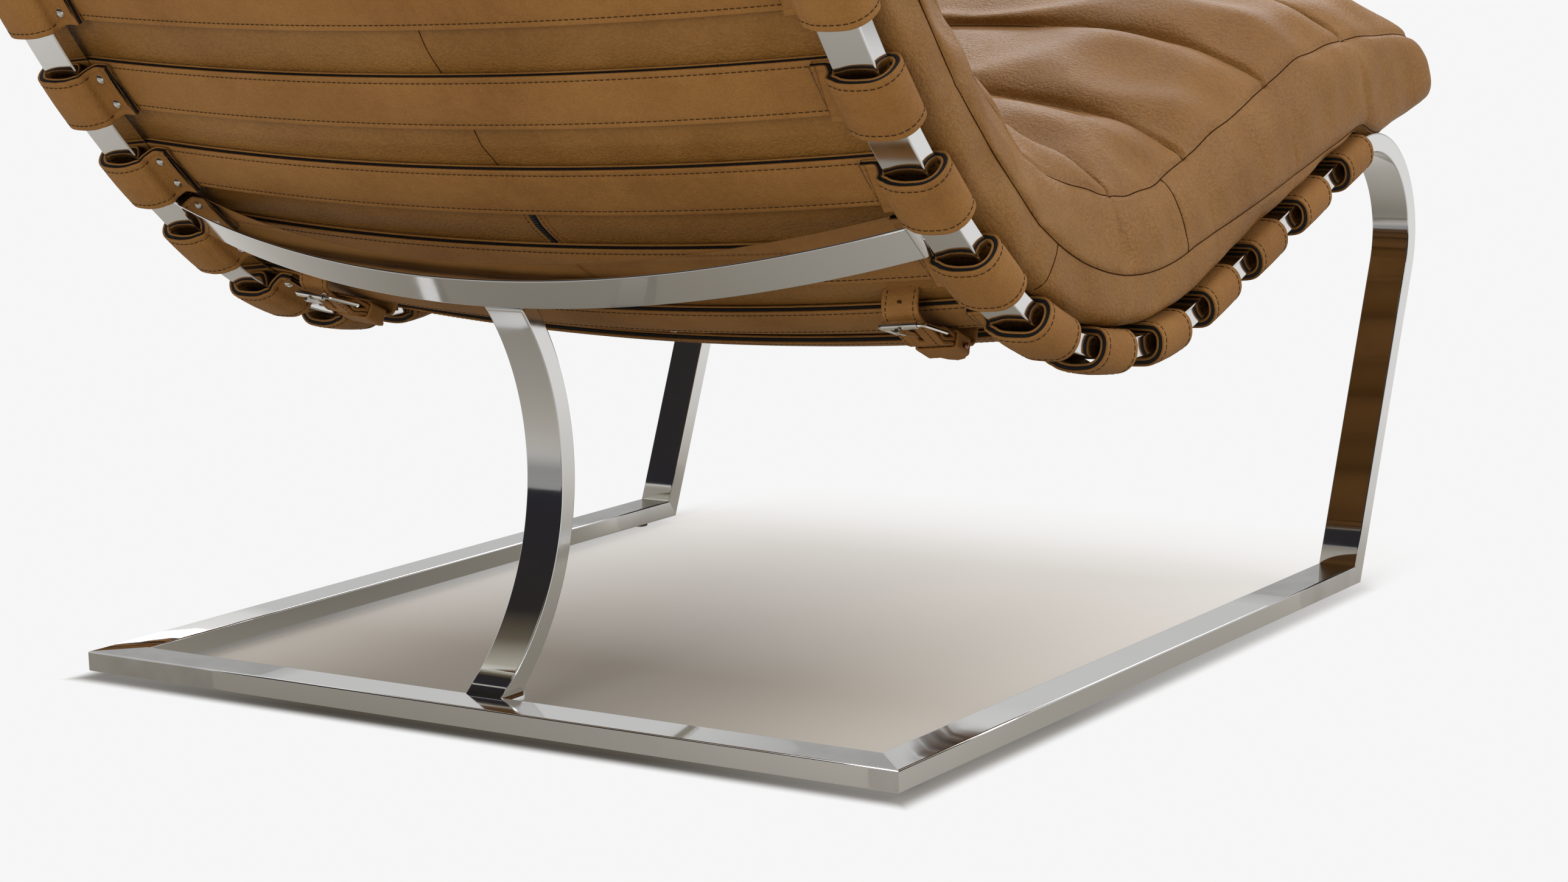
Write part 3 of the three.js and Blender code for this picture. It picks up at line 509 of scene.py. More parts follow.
def leather(name, dark, mid, light, grain, grain_depth, roughness, sheen):
    """Aniline leather: a drifting tone, a pebbled grain of that size in metres, fine creases, and
    painted shade that darkens the grain's hollows.
    """
    material, tree, shader = new_material(name)
    place = add_node(tree, "ShaderNodeTexCoord").outputs["Object"]
    drift = add_node(tree, "ShaderNodeTexNoise", {
        "Vector": place, "Scale": 9.0, "Detail": 5.0, "Roughness": 0.62,
    }).outputs["Fac"]
    mottle = add_node(tree, "ShaderNodeTexNoise", {
        "Vector": place, "Scale": 160.0, "Detail": 6.0, "Roughness": 0.7,
    }).outputs["Fac"]
    bend = add_node(tree, "ShaderNodeTexNoise", {
        "Vector": place, "Scale": 70.0, "Detail": 3.0,
    }).outputs["Color"]
    wander = add_node(tree, "ShaderNodeVectorMath", {0: bend}, operation="SCALE")
    wander.inputs["Scale"].default_value = grain * 1.3
    warped = add_node(tree, "ShaderNodeVectorMath", {0: place, 1: wander.outputs[0]}).outputs[0]
    pebble = add_node(tree, "ShaderNodeTexVoronoi", {
        "Vector": warped, "Scale": 1 / grain, "Smoothness": 0.35,
    }, feature="SMOOTH_F1").outputs["Distance"]
    crease = add_node(tree, "ShaderNodeTexVoronoi", {
        "Vector": warped, "Scale": 0.42 / grain,
    }, feature="DISTANCE_TO_EDGE").outputs["Distance"]
    pores = add_node(tree, "ShaderNodeTexNoise", {
        "Vector": place, "Scale": 1400.0, "Detail": 3.0,
    }).outputs["Fac"]

    tone = math_node(tree, "ADD", math_node(tree, "MULTIPLY", drift, 0.72),
                     math_node(tree, "MULTIPLY", mottle, 0.28))
    colour = ramp(tree, tone, [(0.36, dark), (0.5, mid), (0.66, light)])
    # Painted shade: the pebble's hollows are darkened in the base colour.
    hollow_shade = ramp(tree, pebble, [(0.25, (1, 1, 1)), (0.75, (0.9, 0.88, 0.86))])
    colour_with_painted_shade = add_node(tree, "ShaderNodeMix", {0: 0.9}, data_type="RGBA", blend_type="MULTIPLY")
    tree.links.new(colour, colour_with_painted_shade.inputs[6])
    tree.links.new(hollow_shade, colour_with_painted_shade.inputs[7])
    tree.links.new(colour_with_painted_shade.outputs[2], shader.inputs["Base Color"])

    gloss = math_node(tree, "ADD", map_range(tree, mottle, roughness - 0.09, roughness + 0.09),
                      math_node(tree, "MULTIPLY", pebble, 0.12))
    tree.links.new(gloss, shader.inputs["Roughness"])
    shader.inputs["Specular IOR Level"].default_value = 0.24
    shader.inputs["Sheen Weight"].default_value = sheen
    shader.inputs["Sheen Roughness"].default_value = 0.45
    shader.inputs["Sheen Tint"].default_value = (0.95, 0.75, 0.5, 1.0)

    height = math_node(tree, "MULTIPLY", pebble, -0.8)
    lines = ramp(tree, crease, [(0.0, (0, 0, 0)), (0.09, (1, 1, 1))])
    height = math_node(tree, "ADD", height, math_node(tree, "MULTIPLY", lines, 0.35))
    height = math_node(tree, "ADD", height, math_node(tree, "MULTIPLY", pores, 0.3))
    bump = add_node(tree, "ShaderNodeBump", {
        "Height": height, "Strength": 0.55, "Distance": grain_depth,
    })
    tree.links.new(bump.outputs["Normal"], shader.inputs["Normal"])
    return material


def steel(name, tint, roughness, ripple):
    """Polished stainless steel with slight waves from hand polishing."""
    material, tree, shader = new_material(name)
    place = add_node(tree, "ShaderNodeTexCoord").outputs["Object"]
    shader.inputs["Metallic"].default_value = 1.0
    shader.inputs["Base Color"].default_value = (*tint, 1.0)
    smear = add_node(tree, "ShaderNodeTexNoise", {
        "Vector": place, "Scale": 26.0, "Detail": 6.0, "Roughness": 0.6,
    }).outputs["Fac"]
    tree.links.new(map_range(tree, smear, roughness * 0.55, roughness * 1.5),
                   shader.inputs["Roughness"])
    wave = add_node(tree, "ShaderNodeTexNoise", {"Vector": place, "Scale": 11.0, "Detail": 2.0})
    bump = add_node(tree, "ShaderNodeBump", {
        "Height": wave.outputs["Fac"], "Strength": 0.25, "Distance": ripple,
    })
    tree.links.new(bump.outputs["Normal"], shader.inputs["Normal"])
    return material


def plain(name, colour, roughness, fibre=0.0, shine=0.5):
    """A dull material, with a fibrous bump where it is woven or cut."""
    material, tree, shader = new_material(name)
    shader.inputs["Roughness"].default_value = roughness
    shader.inputs["Specular IOR Level"].default_value = shine
    place = add_node(tree, "ShaderNodeTexCoord").outputs["Object"]
    speck = add_node(tree, "ShaderNodeTexNoise", {
        "Vector": place, "Scale": 900.0, "Detail": 4.0,
    }).outputs["Fac"]
    dark = tuple(channel * 0.6 for channel in colour)
    light = tuple(min(channel * 1.4, 1.0) for channel in colour)
    tree.links.new(ramp(tree, speck, [(0.35, dark), (0.65, light)]), shader.inputs["Base Color"])
    if fibre:
        bump = add_node(tree, "ShaderNodeBump", {
            "Height": speck, "Strength": 0.6, "Distance": fibre,
        })
        tree.links.new(bump.outputs["Normal"], shader.inputs["Normal"])
    return material


STEEL = steel("polished_steel", (0.80, 0.795, 0.785), 0.075, 0.0006)
NICKEL_DARK = steel("aged_nickel", (0.30, 0.27, 0.23), 0.3, 0.0002)
NICKEL = steel("nickel_plate", (0.83, 0.80, 0.755), 0.11, 0.0002)
CUSHION_LEATHER = leather("cushion_leather", (0.188, 0.080, 0.014), (0.226, 0.102, 0.021),
                          (0.262, 0.124, 0.029), 0.0024, 0.0010, 0.43, 0.0)
STRAP_HIDE = leather("strap_leather", (0.212, 0.092, 0.019), (0.258, 0.116, 0.027),
                     (0.298, 0.140, 0.036), 0.0015, 0.0005, 0.66, 0.02)
BELT_HIDE = leather("belt_leather", (0.200, 0.084, 0.017), (0.252, 0.112, 0.026),
                    (0.292, 0.136, 0.036), 0.0013, 0.0004, 0.55, 0.0)
WEBBING = plain("webbing", (0.006, 0.0055, 0.006), 0.85, 0.0006)
THREAD = plain("thread", (0.050, 0.024, 0.009), 0.75, shine=0.1)
ZIP_COIL = plain("zip_coil", (0.012, 0.011, 0.012), 0.45)
SEAM_SHADE = plain("seam_shade", (0.040, 0.017, 0.006), 0.9, shine=0.0)
NYLON = plain("glide_nylon", (0.10, 0.065, 0.04), 0.5)
COPPER = steel("copper_stud", (0.36, 0.16, 0.09), 0.3, 0.0002)


def add_child(parent, name, material, points, faces):
    """A small piece that goes with its parent."""
    obj = new_object(name, points, faces)
    obj.parent = parent
    obj.matrix_parent_inverse = parent.matrix_world.inverted()
    obj.data.materials.append(material)
    return obj


def finish(obj, material, slot, *nodes):
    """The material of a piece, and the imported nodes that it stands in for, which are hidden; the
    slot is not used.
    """
    obj.data.materials.append(material)
    if nodes:
        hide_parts(*nodes)


# The steel frame

def bar_section():
    """The flat bar's outline: narrow rounded edges, with flats held by a close extra point."""
    wide = BAR_WIDTH / 2
    deep = BAR_THICKNESS / 2
    inset = BAR_EDGE * 1.25
    outline = []
    corners = [(1, 1, 0), (-1, 1, 90), (-1, -1, 180), (1, -1, 270)]
    for sx, sy, start in corners:
        centre = (sx * (wide - BAR_EDGE), sy * (deep - BAR_EDGE))
        before = (sx * wide, sy * (deep - inset))
        after = (sx * (wide - inset), sy * deep)
        if start in (90, 270):
            before, after = after, before
        outline.append(before)
        outline.extend(arc_points(centre, BAR_EDGE, start, start + 90, EDGE_STEPS).tolist())
        outline.append(after)
    return np.array(outline)


def placed(section, centre, across, through):
    """A flat outline as points in space, by its middle and its two directions."""
    return (
        np.asarray(centre)
        + section[:, :1] * np.asarray(across)
        + section[:, 1:] * np.asarray(through)
    )


def slide(ring, along, point, normal):
    """Each point of a ring slides along one direction to a plane."""
    away = (np.asarray(point) - ring) @ np.asarray(normal)
    return ring + np.outer(away / (np.asarray(along) @ np.asarray(normal)), along)


ACROSS = np.array([1.0, 0.0, 0.0])
REARWARD = np.array([0.0, 1.0, 0.0])
UP = np.array([0.0, 0.0, 1.0])
SECTION = bar_section()


def side_vectors(turn):
    """Unit vectors along the route at a heading, and out from it."""
    along = np.array([0.0, math.cos(turn), math.sin(turn)])
    out = np.array([0.0, -math.sin(turn), math.cos(turn)])
    return along, out


def stops_along(route):
    """Distances that hold a route's arcs within a small turn between two of them."""
    stops = [0.0]
    for start, length, curve, _ in route.runs:
        turned = math.degrees(abs(curve) * length)
        steps = max(int(turned / BEND_STEP_DEGREES), BEND_LEAST_STEPS)
        stops.extend(start + length * k / steps for k in range(1, steps + 1))
    return stops


def make_base_and_rails():
    mitre_normal = np.array([0.0, math.sin(mitre_angle), -math.cos(mitre_angle)])
    mitre_point = np.array([0.0, mitre_y, base_middle])

    def corner_normal(side):
        return np.array([side, -1.0, 0.0]) / math.sqrt(2)

    rear = placed(SECTION, (0, -BAR_WIDTH / 2, base_middle), REARWARD, UP)
    ends = []
    for share in (-1, -0.5, 0, 0.5, 1):
        ring = rear + ACROSS * share * inner_half
        if abs(share) == 1:
            corner = np.array([share * FRAME_WIDTH / 2, 0, base_middle])
            ring = slide(rear, ACROSS, corner, corner_normal(share))
        ends.append(ring)
    bar = new_object("rear_floor_bar", *loft(ends))
    finish(bar, STEEL, "polished_steel", "base_rear_bar")

    for name, side in SIDES.items():
        ring = placed(SECTION, (side * rail_offset, 0, base_middle), ACROSS, UP)
        corner = np.array([side * FRAME_WIDTH / 2, 0, base_middle])
        rings = [slide(ring, REARWARD, mitre_point, mitre_normal)]
        rings += [ring - REARWARD * BASE_LENGTH * share for share in (0.75, 0.5, 0.25)]
        rings.append(slide(ring, REARWARD, corner, corner_normal(side)))
        bar = new_object(f"side_floor_bar_{name}", *loft(rings))
        finish(bar, STEEL, "polished_steel", f"base_side_bar_{name}")

        rings = []
        for stop in stops_along(rail):
            y, z, turn = rail.at(stop)
            _, out = side_vectors(turn)
            rings.append(placed(SECTION, (side * rail_offset, y, z), ACROSS, out))
        along, _ = side_vectors(rail.at(0)[2])
        rings[0] = slide(rings[0], along, mitre_point, mitre_normal)
        bar = new_object(f"rail_{name}", *loft(rings))
        finish(bar, STEEL, "polished_steel", f"side_rail_{name}")


def make_crossbar(name, node, place):
    """A bowed bar between the rails, with a weld bead at each edge of its ends."""
    y, z, turn = rail.at(place)
    along, out = side_vectors(turn)
    radius = (inner_half ** 2 + CROSSBAR_BOW ** 2) / (2 * CROSSBAR_BOW)
    reach = math.asin(inner_half / radius)
    rings = []
    for i in range(CROSSBAR_STEPS + 1):
        sweep = reach * (2 * i / CROSSBAR_STEPS - 1)
        drop = radius - CROSSBAR_BOW - radius * math.cos(sweep)
        centre = np.array([0.0, y, z]) + ACROSS * radius * math.sin(sweep) + out * drop
        outward = ACROSS * math.sin(sweep) - out * math.cos(sweep)
        rings.append(placed(SECTION, centre, along, outward))
    for index, side in ((0, -1), (CROSSBAR_STEPS, 1)):
        lengthwise = ACROSS * math.cos(reach) + out * side * math.sin(reach)
        rings[index] = slide(rings[index], lengthwise, ACROSS * side * inner_half, ACROSS)
    bar = new_object(name, *loft(rings))
    finish(bar, STEEL, "polished_steel", node)
    beads = []
    for side in (-1, 1):
        end = np.array([side * (inner_half - WELD_INSET), y, z])
        for edge in (-1, 1):
            centre = end + along * edge * (BAR_WIDTH / 2 - WELD_EDGE_INSET)
            beads.append(bead(centre, out, BAR_THICKNESS * WELD_LENGTH_SHARE))
    weld = new_object(f"{name}_welds", *joined(beads))
    finish(weld, STEEL, "polished_steel")


def bead(centre, direction, length):
    """A ground weld: a low rounded stick along a joint."""
    profile = [(0.0, 0.05), (0.06, 0.6), (0.16, 0.92), (0.35, 1.0)]
    profile += [(1 - t, r) for t, r in reversed(profile)]
    turns = np.linspace(0, 2 * math.pi, BEAD_SIDES, endpoint=False)
    side = np.cross(direction, UP if abs(direction[0]) > 0.5 else ACROSS)
    side /= np.linalg.norm(side)
    other = np.cross(direction, side)
    rings = []
    for t, r in profile:
        radius = WELD_BEAD / 2 * r
        middle = centre + direction * (t - 0.5) * length
        rings.append(middle + radius * (np.outer(np.cos(turns), side)
                                        + np.outer(np.sin(turns), other)))
    return loft(rings)


def make_support(place):
    """The curved stay from the rear floor bar up to the lower crossbar."""
    y, z, turn = rail.at(place)
    along, out = side_vectors(turn)
    top = np.array([0.0, y, z]) - out * CROSSBAR_BOW - along * BAR_WIDTH / 2
    foot = np.array([0.0, -BAR_WIDTH, base_middle])
    chord = top - foot
    radius = SUPPORT_BULGE / 2 + (chord @ chord) / (8 * SUPPORT_BULGE)
    rise = radius - SUPPORT_BULGE
    sideways = np.array([0.0, chord[2], -chord[1]])
    hub = (top + foot) / 2 + sideways / np.linalg.norm(sideways) * rise
    start = math.atan2(foot[2] - hub[2], foot[1] - hub[1])
    end = math.atan2(top[2] - hub[2], top[1] - hub[1])
    sweep = (start - end) % (2 * math.pi)
    rings = []
    for i in range(SUPPORT_STEPS + 1):
        angle = start - sweep * i / SUPPORT_STEPS
        outward = np.array([0.0, math.cos(angle), math.sin(angle)])
        rings.append(placed(SECTION, hub + outward * radius, ACROSS, outward))
    tangent = np.array([0.0, math.sin(end), -math.cos(end)])
    rings[-1] = slide(rings[-1], tangent, top, along)
    floor_top = GLIDE_HEIGHT + BAR_THICKNESS
    tangent = np.array([0.0, math.sin(start), -math.cos(start)])
    shoulder = slide(rings[0], tangent, (0, 0, floor_top), UP)
    low = shoulder.copy()
    low[:, 2] = GLIDE_HEIGHT
    low[:, 1] = np.minimum(low[:, 1] - STAY_TOE_DRAW, -BAR_WIDTH)
    shoulder_low = shoulder.copy()
    shoulder_low[:, 1] = np.minimum(shoulder_low[:, 1], -BAR_WIDTH)
    keep = [ring for ring in rings[1:] if ring[:, 2].min() > floor_top + STAY_LEAST_LIFT]
    stay = new_object("rear_stay", *joined([
        loft([shoulder, *keep]), loft([low, shoulder_low]),
    ]))
    finish(stay, STEEL, "polished_steel", "rear_support")
    joint = foot * (1, 1, 0) + (0, 0, floor_top)
    weld = new_object("rear_stay_weld", *bead(joint, ACROSS, STAY_WELD_LENGTH))
    finish(weld, STEEL, "polished_steel")


def lathe(profile, centre, axis, steps=32):
    """A round piece from (radius, height) pairs about an axis."""
    axis = np.asarray(axis, float)
    axis /= np.linalg.norm(axis)
    side = np.cross(axis, ACROSS if abs(axis[0]) < 0.9 else UP)
    side /= np.linalg.norm(side)
    other = np.cross(axis, side)
    turns = np.linspace(0, 2 * math.pi, steps, endpoint=False)
    circle = np.outer(np.cos(turns), side) + np.outer(np.sin(turns), other)
    rings = [np.asarray(centre) + axis * height + circle * max(radius, LEAST_RADIUS)
             for radius, height in profile]
    return loft(rings)


def make_glides():
    radius = GLIDE_DIAMETER / 2
    ease = [(radius - GLIDE_EDGE * (1 - math.sin(t)), GLIDE_EDGE * (1 - math.cos(t)))
            for t in np.radians([0, 22, 45, 67, 90])]
    sole = (radius * GLIDE_SOLE_SHARE, 0)
    profile = [(0, 0), sole, *ease, (radius, GLIDE_HEIGHT), (0, GLIDE_HEIGHT)]
    for end, y in (("front", GLIDE_SETBACK - BASE_LENGTH), ("rear", -GLIDE_SETBACK)):
        for name, side in SIDES.items():
            glide = new_object(f"foot_{end}_{name}",
                               *lathe(profile, (side * rail_offset, y, 0), UP))
            finish(glide, NYLON, "glide_nylon", f"glide_{end}_{name}")


# Straps

def bow_at(x):
    """How far a strap hangs below the rails at a place across it."""
    share = np.minimum(np.abs(x) / inner_half, 1)
    return STRAP_BOW * (1 - share * share)


strap_seat = half_thickness + STRAP_CLEARANCE + STRAP_THICKNESS / 2
first_strap = deck_start + FIRST_STRAP_SETBACK
strap_pitch = (rail.length - TOP_STRAP_SETBACK - first_strap) / (STRAP_COUNT - 1)


def strap_place(index):
    return first_strap + index * strap_pitch


def eased(line, clear, passes):
    """A line relaxed to rounder bends, but kept off the rail by half the strap."""
    line = line.copy()
    low = np.array([inner_half - clear, -half_thickness - clear])
    high = np.array([FRAME_WIDTH / 2 + clear, half_thickness + clear])
    for _ in range(passes):
        line[1:-1] += (line[:-2] + line[2:] - 2 * line[1:-1]) * 0.5
        inside = np.all((line > low) & (line < high), axis=1)
        for i in np.flatnonzero(inside):
            gaps = [line[i, 0] - low[0], high[0] - line[i, 0],
                    line[i, 1] - low[1], high[1] - line[i, 1]]
            nearest = int(np.argmin(gaps))
            axis = nearest // 2
            line[i, axis] = (low if nearest % 2 == 0 else high)[axis]
    return line


def loop_line(slack):
    """One end of a strap's middle line, from the rail's top round to the flap's tip."""
    half = STRAP_THICKNESS / 2
    top = LOOP_TOP_TURN
    low = LOOP_UNDER_TURN
    outer = FRAME_WIDTH / 2 + LOOP_SIDE_SLACK + half
    inner = inner_half - half - FLAP_GAP
    under = -half_thickness - LOOP_SLACK - half
    drop = STRAP_THICKNESS + FLAP_GAP
    tip = inner_half - FLAP_LENGTH - FLAP_POINT
    corners = [
        [[rail_offset, strap_seat]],
        arc_points((outer - top, strap_seat - top), top, 90, 0, LOOP_ARC_STEPS),
        arc_points((outer - low, under + low), low, 0, -LOOP_UNDER_SWEEP, LOOP_ARC_STEPS),
        [[rail_offset, under - slack]],
        arc_points((inner + low, under + low), low, *LOOP_INNER_SWEEP, LOOP_ARC_STEPS),
        [[x, strap_seat - bow_at(x) - drop] for x in (inner - 2 * half, tip)],
    ]
    line = resample(np.concatenate(corners), LOOP_STEP)
    return eased(line, half + LOOP_CLEARANCE, LOOP_EASING_PASSES)


def strap_line(slack):
    """A strap's whole middle line, from one flap's tip across to the other's."""
    near = loop_line(slack)
    far = (near * (-1, 1))[::-1]
    x = np.linspace(-inner_half, inner_half, RUN_POINTS)
    run = np.stack([x, strap_seat - bow_at(x)], -1)
    return np.concatenate([far, run, near])


def layer_section(width, low, high, groove):
    """A strap layer's outline as (across, through), with stitch grooves in the outer skin."""
    half = width / 2
    middle = (low + high) / 2
    deep = (high - low) / 2
    stitch = STRAP_WIDTH / 2 - EDGE_STITCH_INSET
    ease = min(deep, LAYER_EDGE)

    def corner(x_side, up_side, start):
        centre = (x_side * (half - ease), middle + up_side * (deep - ease))
        return arc_points(centre, ease, start, start + 90, 3).tolist()

    tops = [(stitch + place, share) for place, share in GROOVE_SHAPE]
    tops.append((0, SKIN_CROWN_SHARE))
    outline = corner(1, 1, 0)
    outline += [(across, high - groove * share) for across, share in tops]
    outline += [(-across, high - groove * share) for across, share in reversed(tops[:-1])]
    outline += corner(-1, 1, 90) + corner(-1, -1, 180)
    outline.append((-tops[0][0], low))
    outline += corner(1, -1, 270)
    return np.array(outline)


def slanted(across):
    """How far along its tips a strap line is trimmed at a place across the strap."""
    share = (across + STRAP_WIDTH / 2) / STRAP_WIDTH
    return FLAP_POINT * share


def sweep_strap(line, place, section):
    """Rings of a strap layer. Its ends are cut at a slant, with the point toward the front."""
    normals = normals_of(line)
    rings = []
    last = len(line) - 1
    for i, (point, normal) in enumerate(zip(line, normals)):
        across = section[:, 0]
        x = point[0] + normal[0] * section[:, 1]
        out = point[1] + normal[1] * section[:, 1]
        if i in (0, last):
            shift = slanted(across)
            x = x + (shift if point[0] > 0 else -shift)
        rings.append(on_deck(place + across, x, out))
    return rings


def stitch_mesh(stitches, radius):
    """Small rounded stitches, all in one mesh, from arrays of their (starts, ends)."""
    shares = [0.0, 0.16, 0.84, 1.0]
    sizes = [0.35, 1.0, 1.0, 0.35]
    turns = np.linspace(0, 2 * math.pi, STITCH_SIDES, endpoint=False)
    starts, ends = (np.concatenate(points) for points in zip(*stitches))
    along = ends - starts
    along /= np.linalg.norm(along, axis=1)[:, None]
    guide = np.where(np.abs(along[:, :1]) < 0.8, ACROSS, UP)
    side = np.cross(along, guide)
    side /= np.linalg.norm(side, axis=1)[:, None]
    other = np.cross(along, side)
    rings = []
    for share, size in zip(shares, sizes):
        middle = starts + (ends - starts) * share
        circle = (np.cos(turns)[None, :, None] * side[:, None, :]
                  + np.sin(turns)[None, :, None] * other[:, None, :])
        rings.append(middle[:, None, :] + circle * radius * size)
    points = np.stack(rings, 1)
    faces = []
    for k in range(len(starts)):
        faces += tube_faces(len(shares), STITCH_SIDES, k * len(shares) * STITCH_SIDES)
    return points.reshape(-1, 3), faces


def stitches_on(track, length, pitch):
    """Start and end points of stitches along a 3-D track."""
    even = resample(track, STITCH_TRACK_STEP)
    travelled = distances(even)
    first = np.arange(pitch / 2, travelled[-1] - length, pitch)
    return at_distances(even, travelled, first), at_distances(even, travelled, first + length)


def make_strap(index):
    """A strap: two skins of hide over webbing, sewn and riveted to itself round each rail."""
    seat = index < SEAT_STRAP_COUNT
    node = f"seat_strap_{index + 1}" if seat else f"back_strap_{index + 1 - SEAT_STRAP_COUNT}"
    place = strap_place(index)
    line = strap_line(rng.uniform(*LOOP_SAG_RANGE))
    half = STRAP_THICKNESS / 2
    outer = layer_section(STRAP_WIDTH, half - STRAP_LEATHER, half, GROOVE_DEPTH)
    inner = (outer * (1, -1))[::-1]
    core_half = half - STRAP_LEATHER + LAYER_OVERLAP
    core = layer_section(STRAP_WIDTH - WEBBING_INSET, -core_half, core_half, 0)
    hide = joined([loft(sweep_strap(line, place, skin)) for skin in (outer, inner)])
    strap = new_object(f"{node}_leather", *hide)
    finish(strap, STRAP_HIDE, "strap_leather", node)
    add_child(strap, f"{node}_webbing", WEBBING, *loft(sweep_strap(line, place, core)))

    normals = normals_of(line)
    stitches = []
    for edge in (-1, 1):
        across = edge * (STRAP_WIDTH / 2 - EDGE_STITCH_INSET)
        for face in (-1, 1):
            through = face * (half - STITCH_SINK)
            points = line + normals * through
            track = on_deck(np.full(len(line), place + across), points[:, 0], points[:, 1])
            hidden = (np.abs(line[:, 0]) < rail_offset) & (line[:, 1] > 0)
            keep = ~hidden if face > 0 else np.ones(len(line), bool)
            for chunk in np.split(np.arange(len(line)), np.flatnonzero(np.diff(keep)) + 1):
                if keep[chunk[0]] and len(chunk) > STITCH_LEAST_POINTS:
                    stitches.append(stitches_on(track[chunk], STITCH_LENGTH, STITCH_PITCH))
    add_child(strap, f"{node}_stitching", THREAD, *stitch_mesh(stitches, STITCH_RADIUS))

    heads = []
    radius = RIVET_DIAMETER / 2
    dome = [(radius * math.sin(t), RIVET_HEIGHT * (math.cos(t) ** 0.9))
            for t in np.radians([3, 15, 30, 45, 58, 70, 80])]
    profile = [*dome, (radius, RIVET_RIM), (radius * 0.97, 0), (radius * 0.2, -RIVET_SINK)]
    x = inner_half - RIVET_SETBACK
    out = strap_seat - bow_at(x) - STRAP_THICKNESS - FLAP_GAP - half
    for side in (-1, 1):
        for edge in (-1, 1):
            spot = place + edge * RIVET_SPACING / 2
            centre = on_deck(spot, side * x, out)
            below = on_deck(spot, side * x, out - 1)
            heads.append(lathe(profile, centre, below - centre, RIVET_SIDES))
    add_child(strap, f"{node}_rivets", NICKEL, *joined(heads))


# The cushion

cushion_front = deck_start - CUSHION_OVERHANG
cushion_end = rail.length + CUSHION_TOP_OVERHANG
lap_seam = lap_start + lap_length * LAP_SEAM_SHARE
seat_end = lap_seam - LAP_CHANNEL
channel_seams = np.concatenate([
    np.linspace(cushion_front, seat_end, SEAT_CHANNELS + 1),
    np.linspace(lap_seam, cushion_end, BACK_CHANNELS + 1),
])
rest = strap_seat + STRAP_THICKNESS / 2 + CUSHION_CLEARANCE
cushion_half = FRAME_WIDTH / 2 - CUSHION_SIDE_INSET


def clustered(count):
    """Shares from 0 to 1 that crowd toward both ends."""
    t = np.linspace(0, 1, count + 1)
    return 0.35 * t + 0.65 * (1 - np.cos(math.pi * t)) / 2


def cushion_places():
    places = []
    for start, end in zip(channel_seams[:-1], channel_seams[1:]):
        places.extend((start + (end - start) * clustered(CHANNEL_STEPS))[:-1])
    places.append(cushion_end)
    for seam in (PANEL_SEAM_PLACE, LOWER_SEAM_PLACE):
        places = [place for place in places if abs(place - seam) > SEAM_LIP * CLEAR_OF_SEAM_SHARE]
        places.extend([seam - SEAM_LIP, seam, seam + SEAM_LIP])
    return np.array(sorted(places))


def swell_at(places):
    """0 at a cross seam and 1 at the top of a channel."""
    i = np.clip(np.searchsorted(channel_seams, places, side="right") - 1,
                0, len(channel_seams) - 2)
    t = (places - channel_seams[i]) / (channel_seams[i + 1] - channel_seams[i])
    return np.sin(math.pi * np.clip(t, 0, 1)) ** 0.38


def waves(u, v, lengths, count, seed):
    """A smooth random field about 1 high, from waves of those lengths in every direction."""
    dice = np.random.default_rng(seed)
    field = np.zeros(np.broadcast(u, v).shape)
    for _ in range(count):
        number = 2 * math.pi / dice.uniform(*lengths)
        heading = dice.uniform(0, math.pi)
        phase = dice.uniform(0, 2 * math.pi)
        field += np.sin(number * (u * math.cos(heading) + v * math.sin(heading)) + phase)
    return field / math.sqrt(count / 2)


def bump_of(x, centre, width):
    return np.exp(-((x - centre) / width) ** 2)


def seam_dip(places, seam):
    """1 at a seam that crosses a side band, and 0 a few millimetres from it."""
    return np.exp(-np.abs(places - seam) / SEAM_LIP)[:, None]


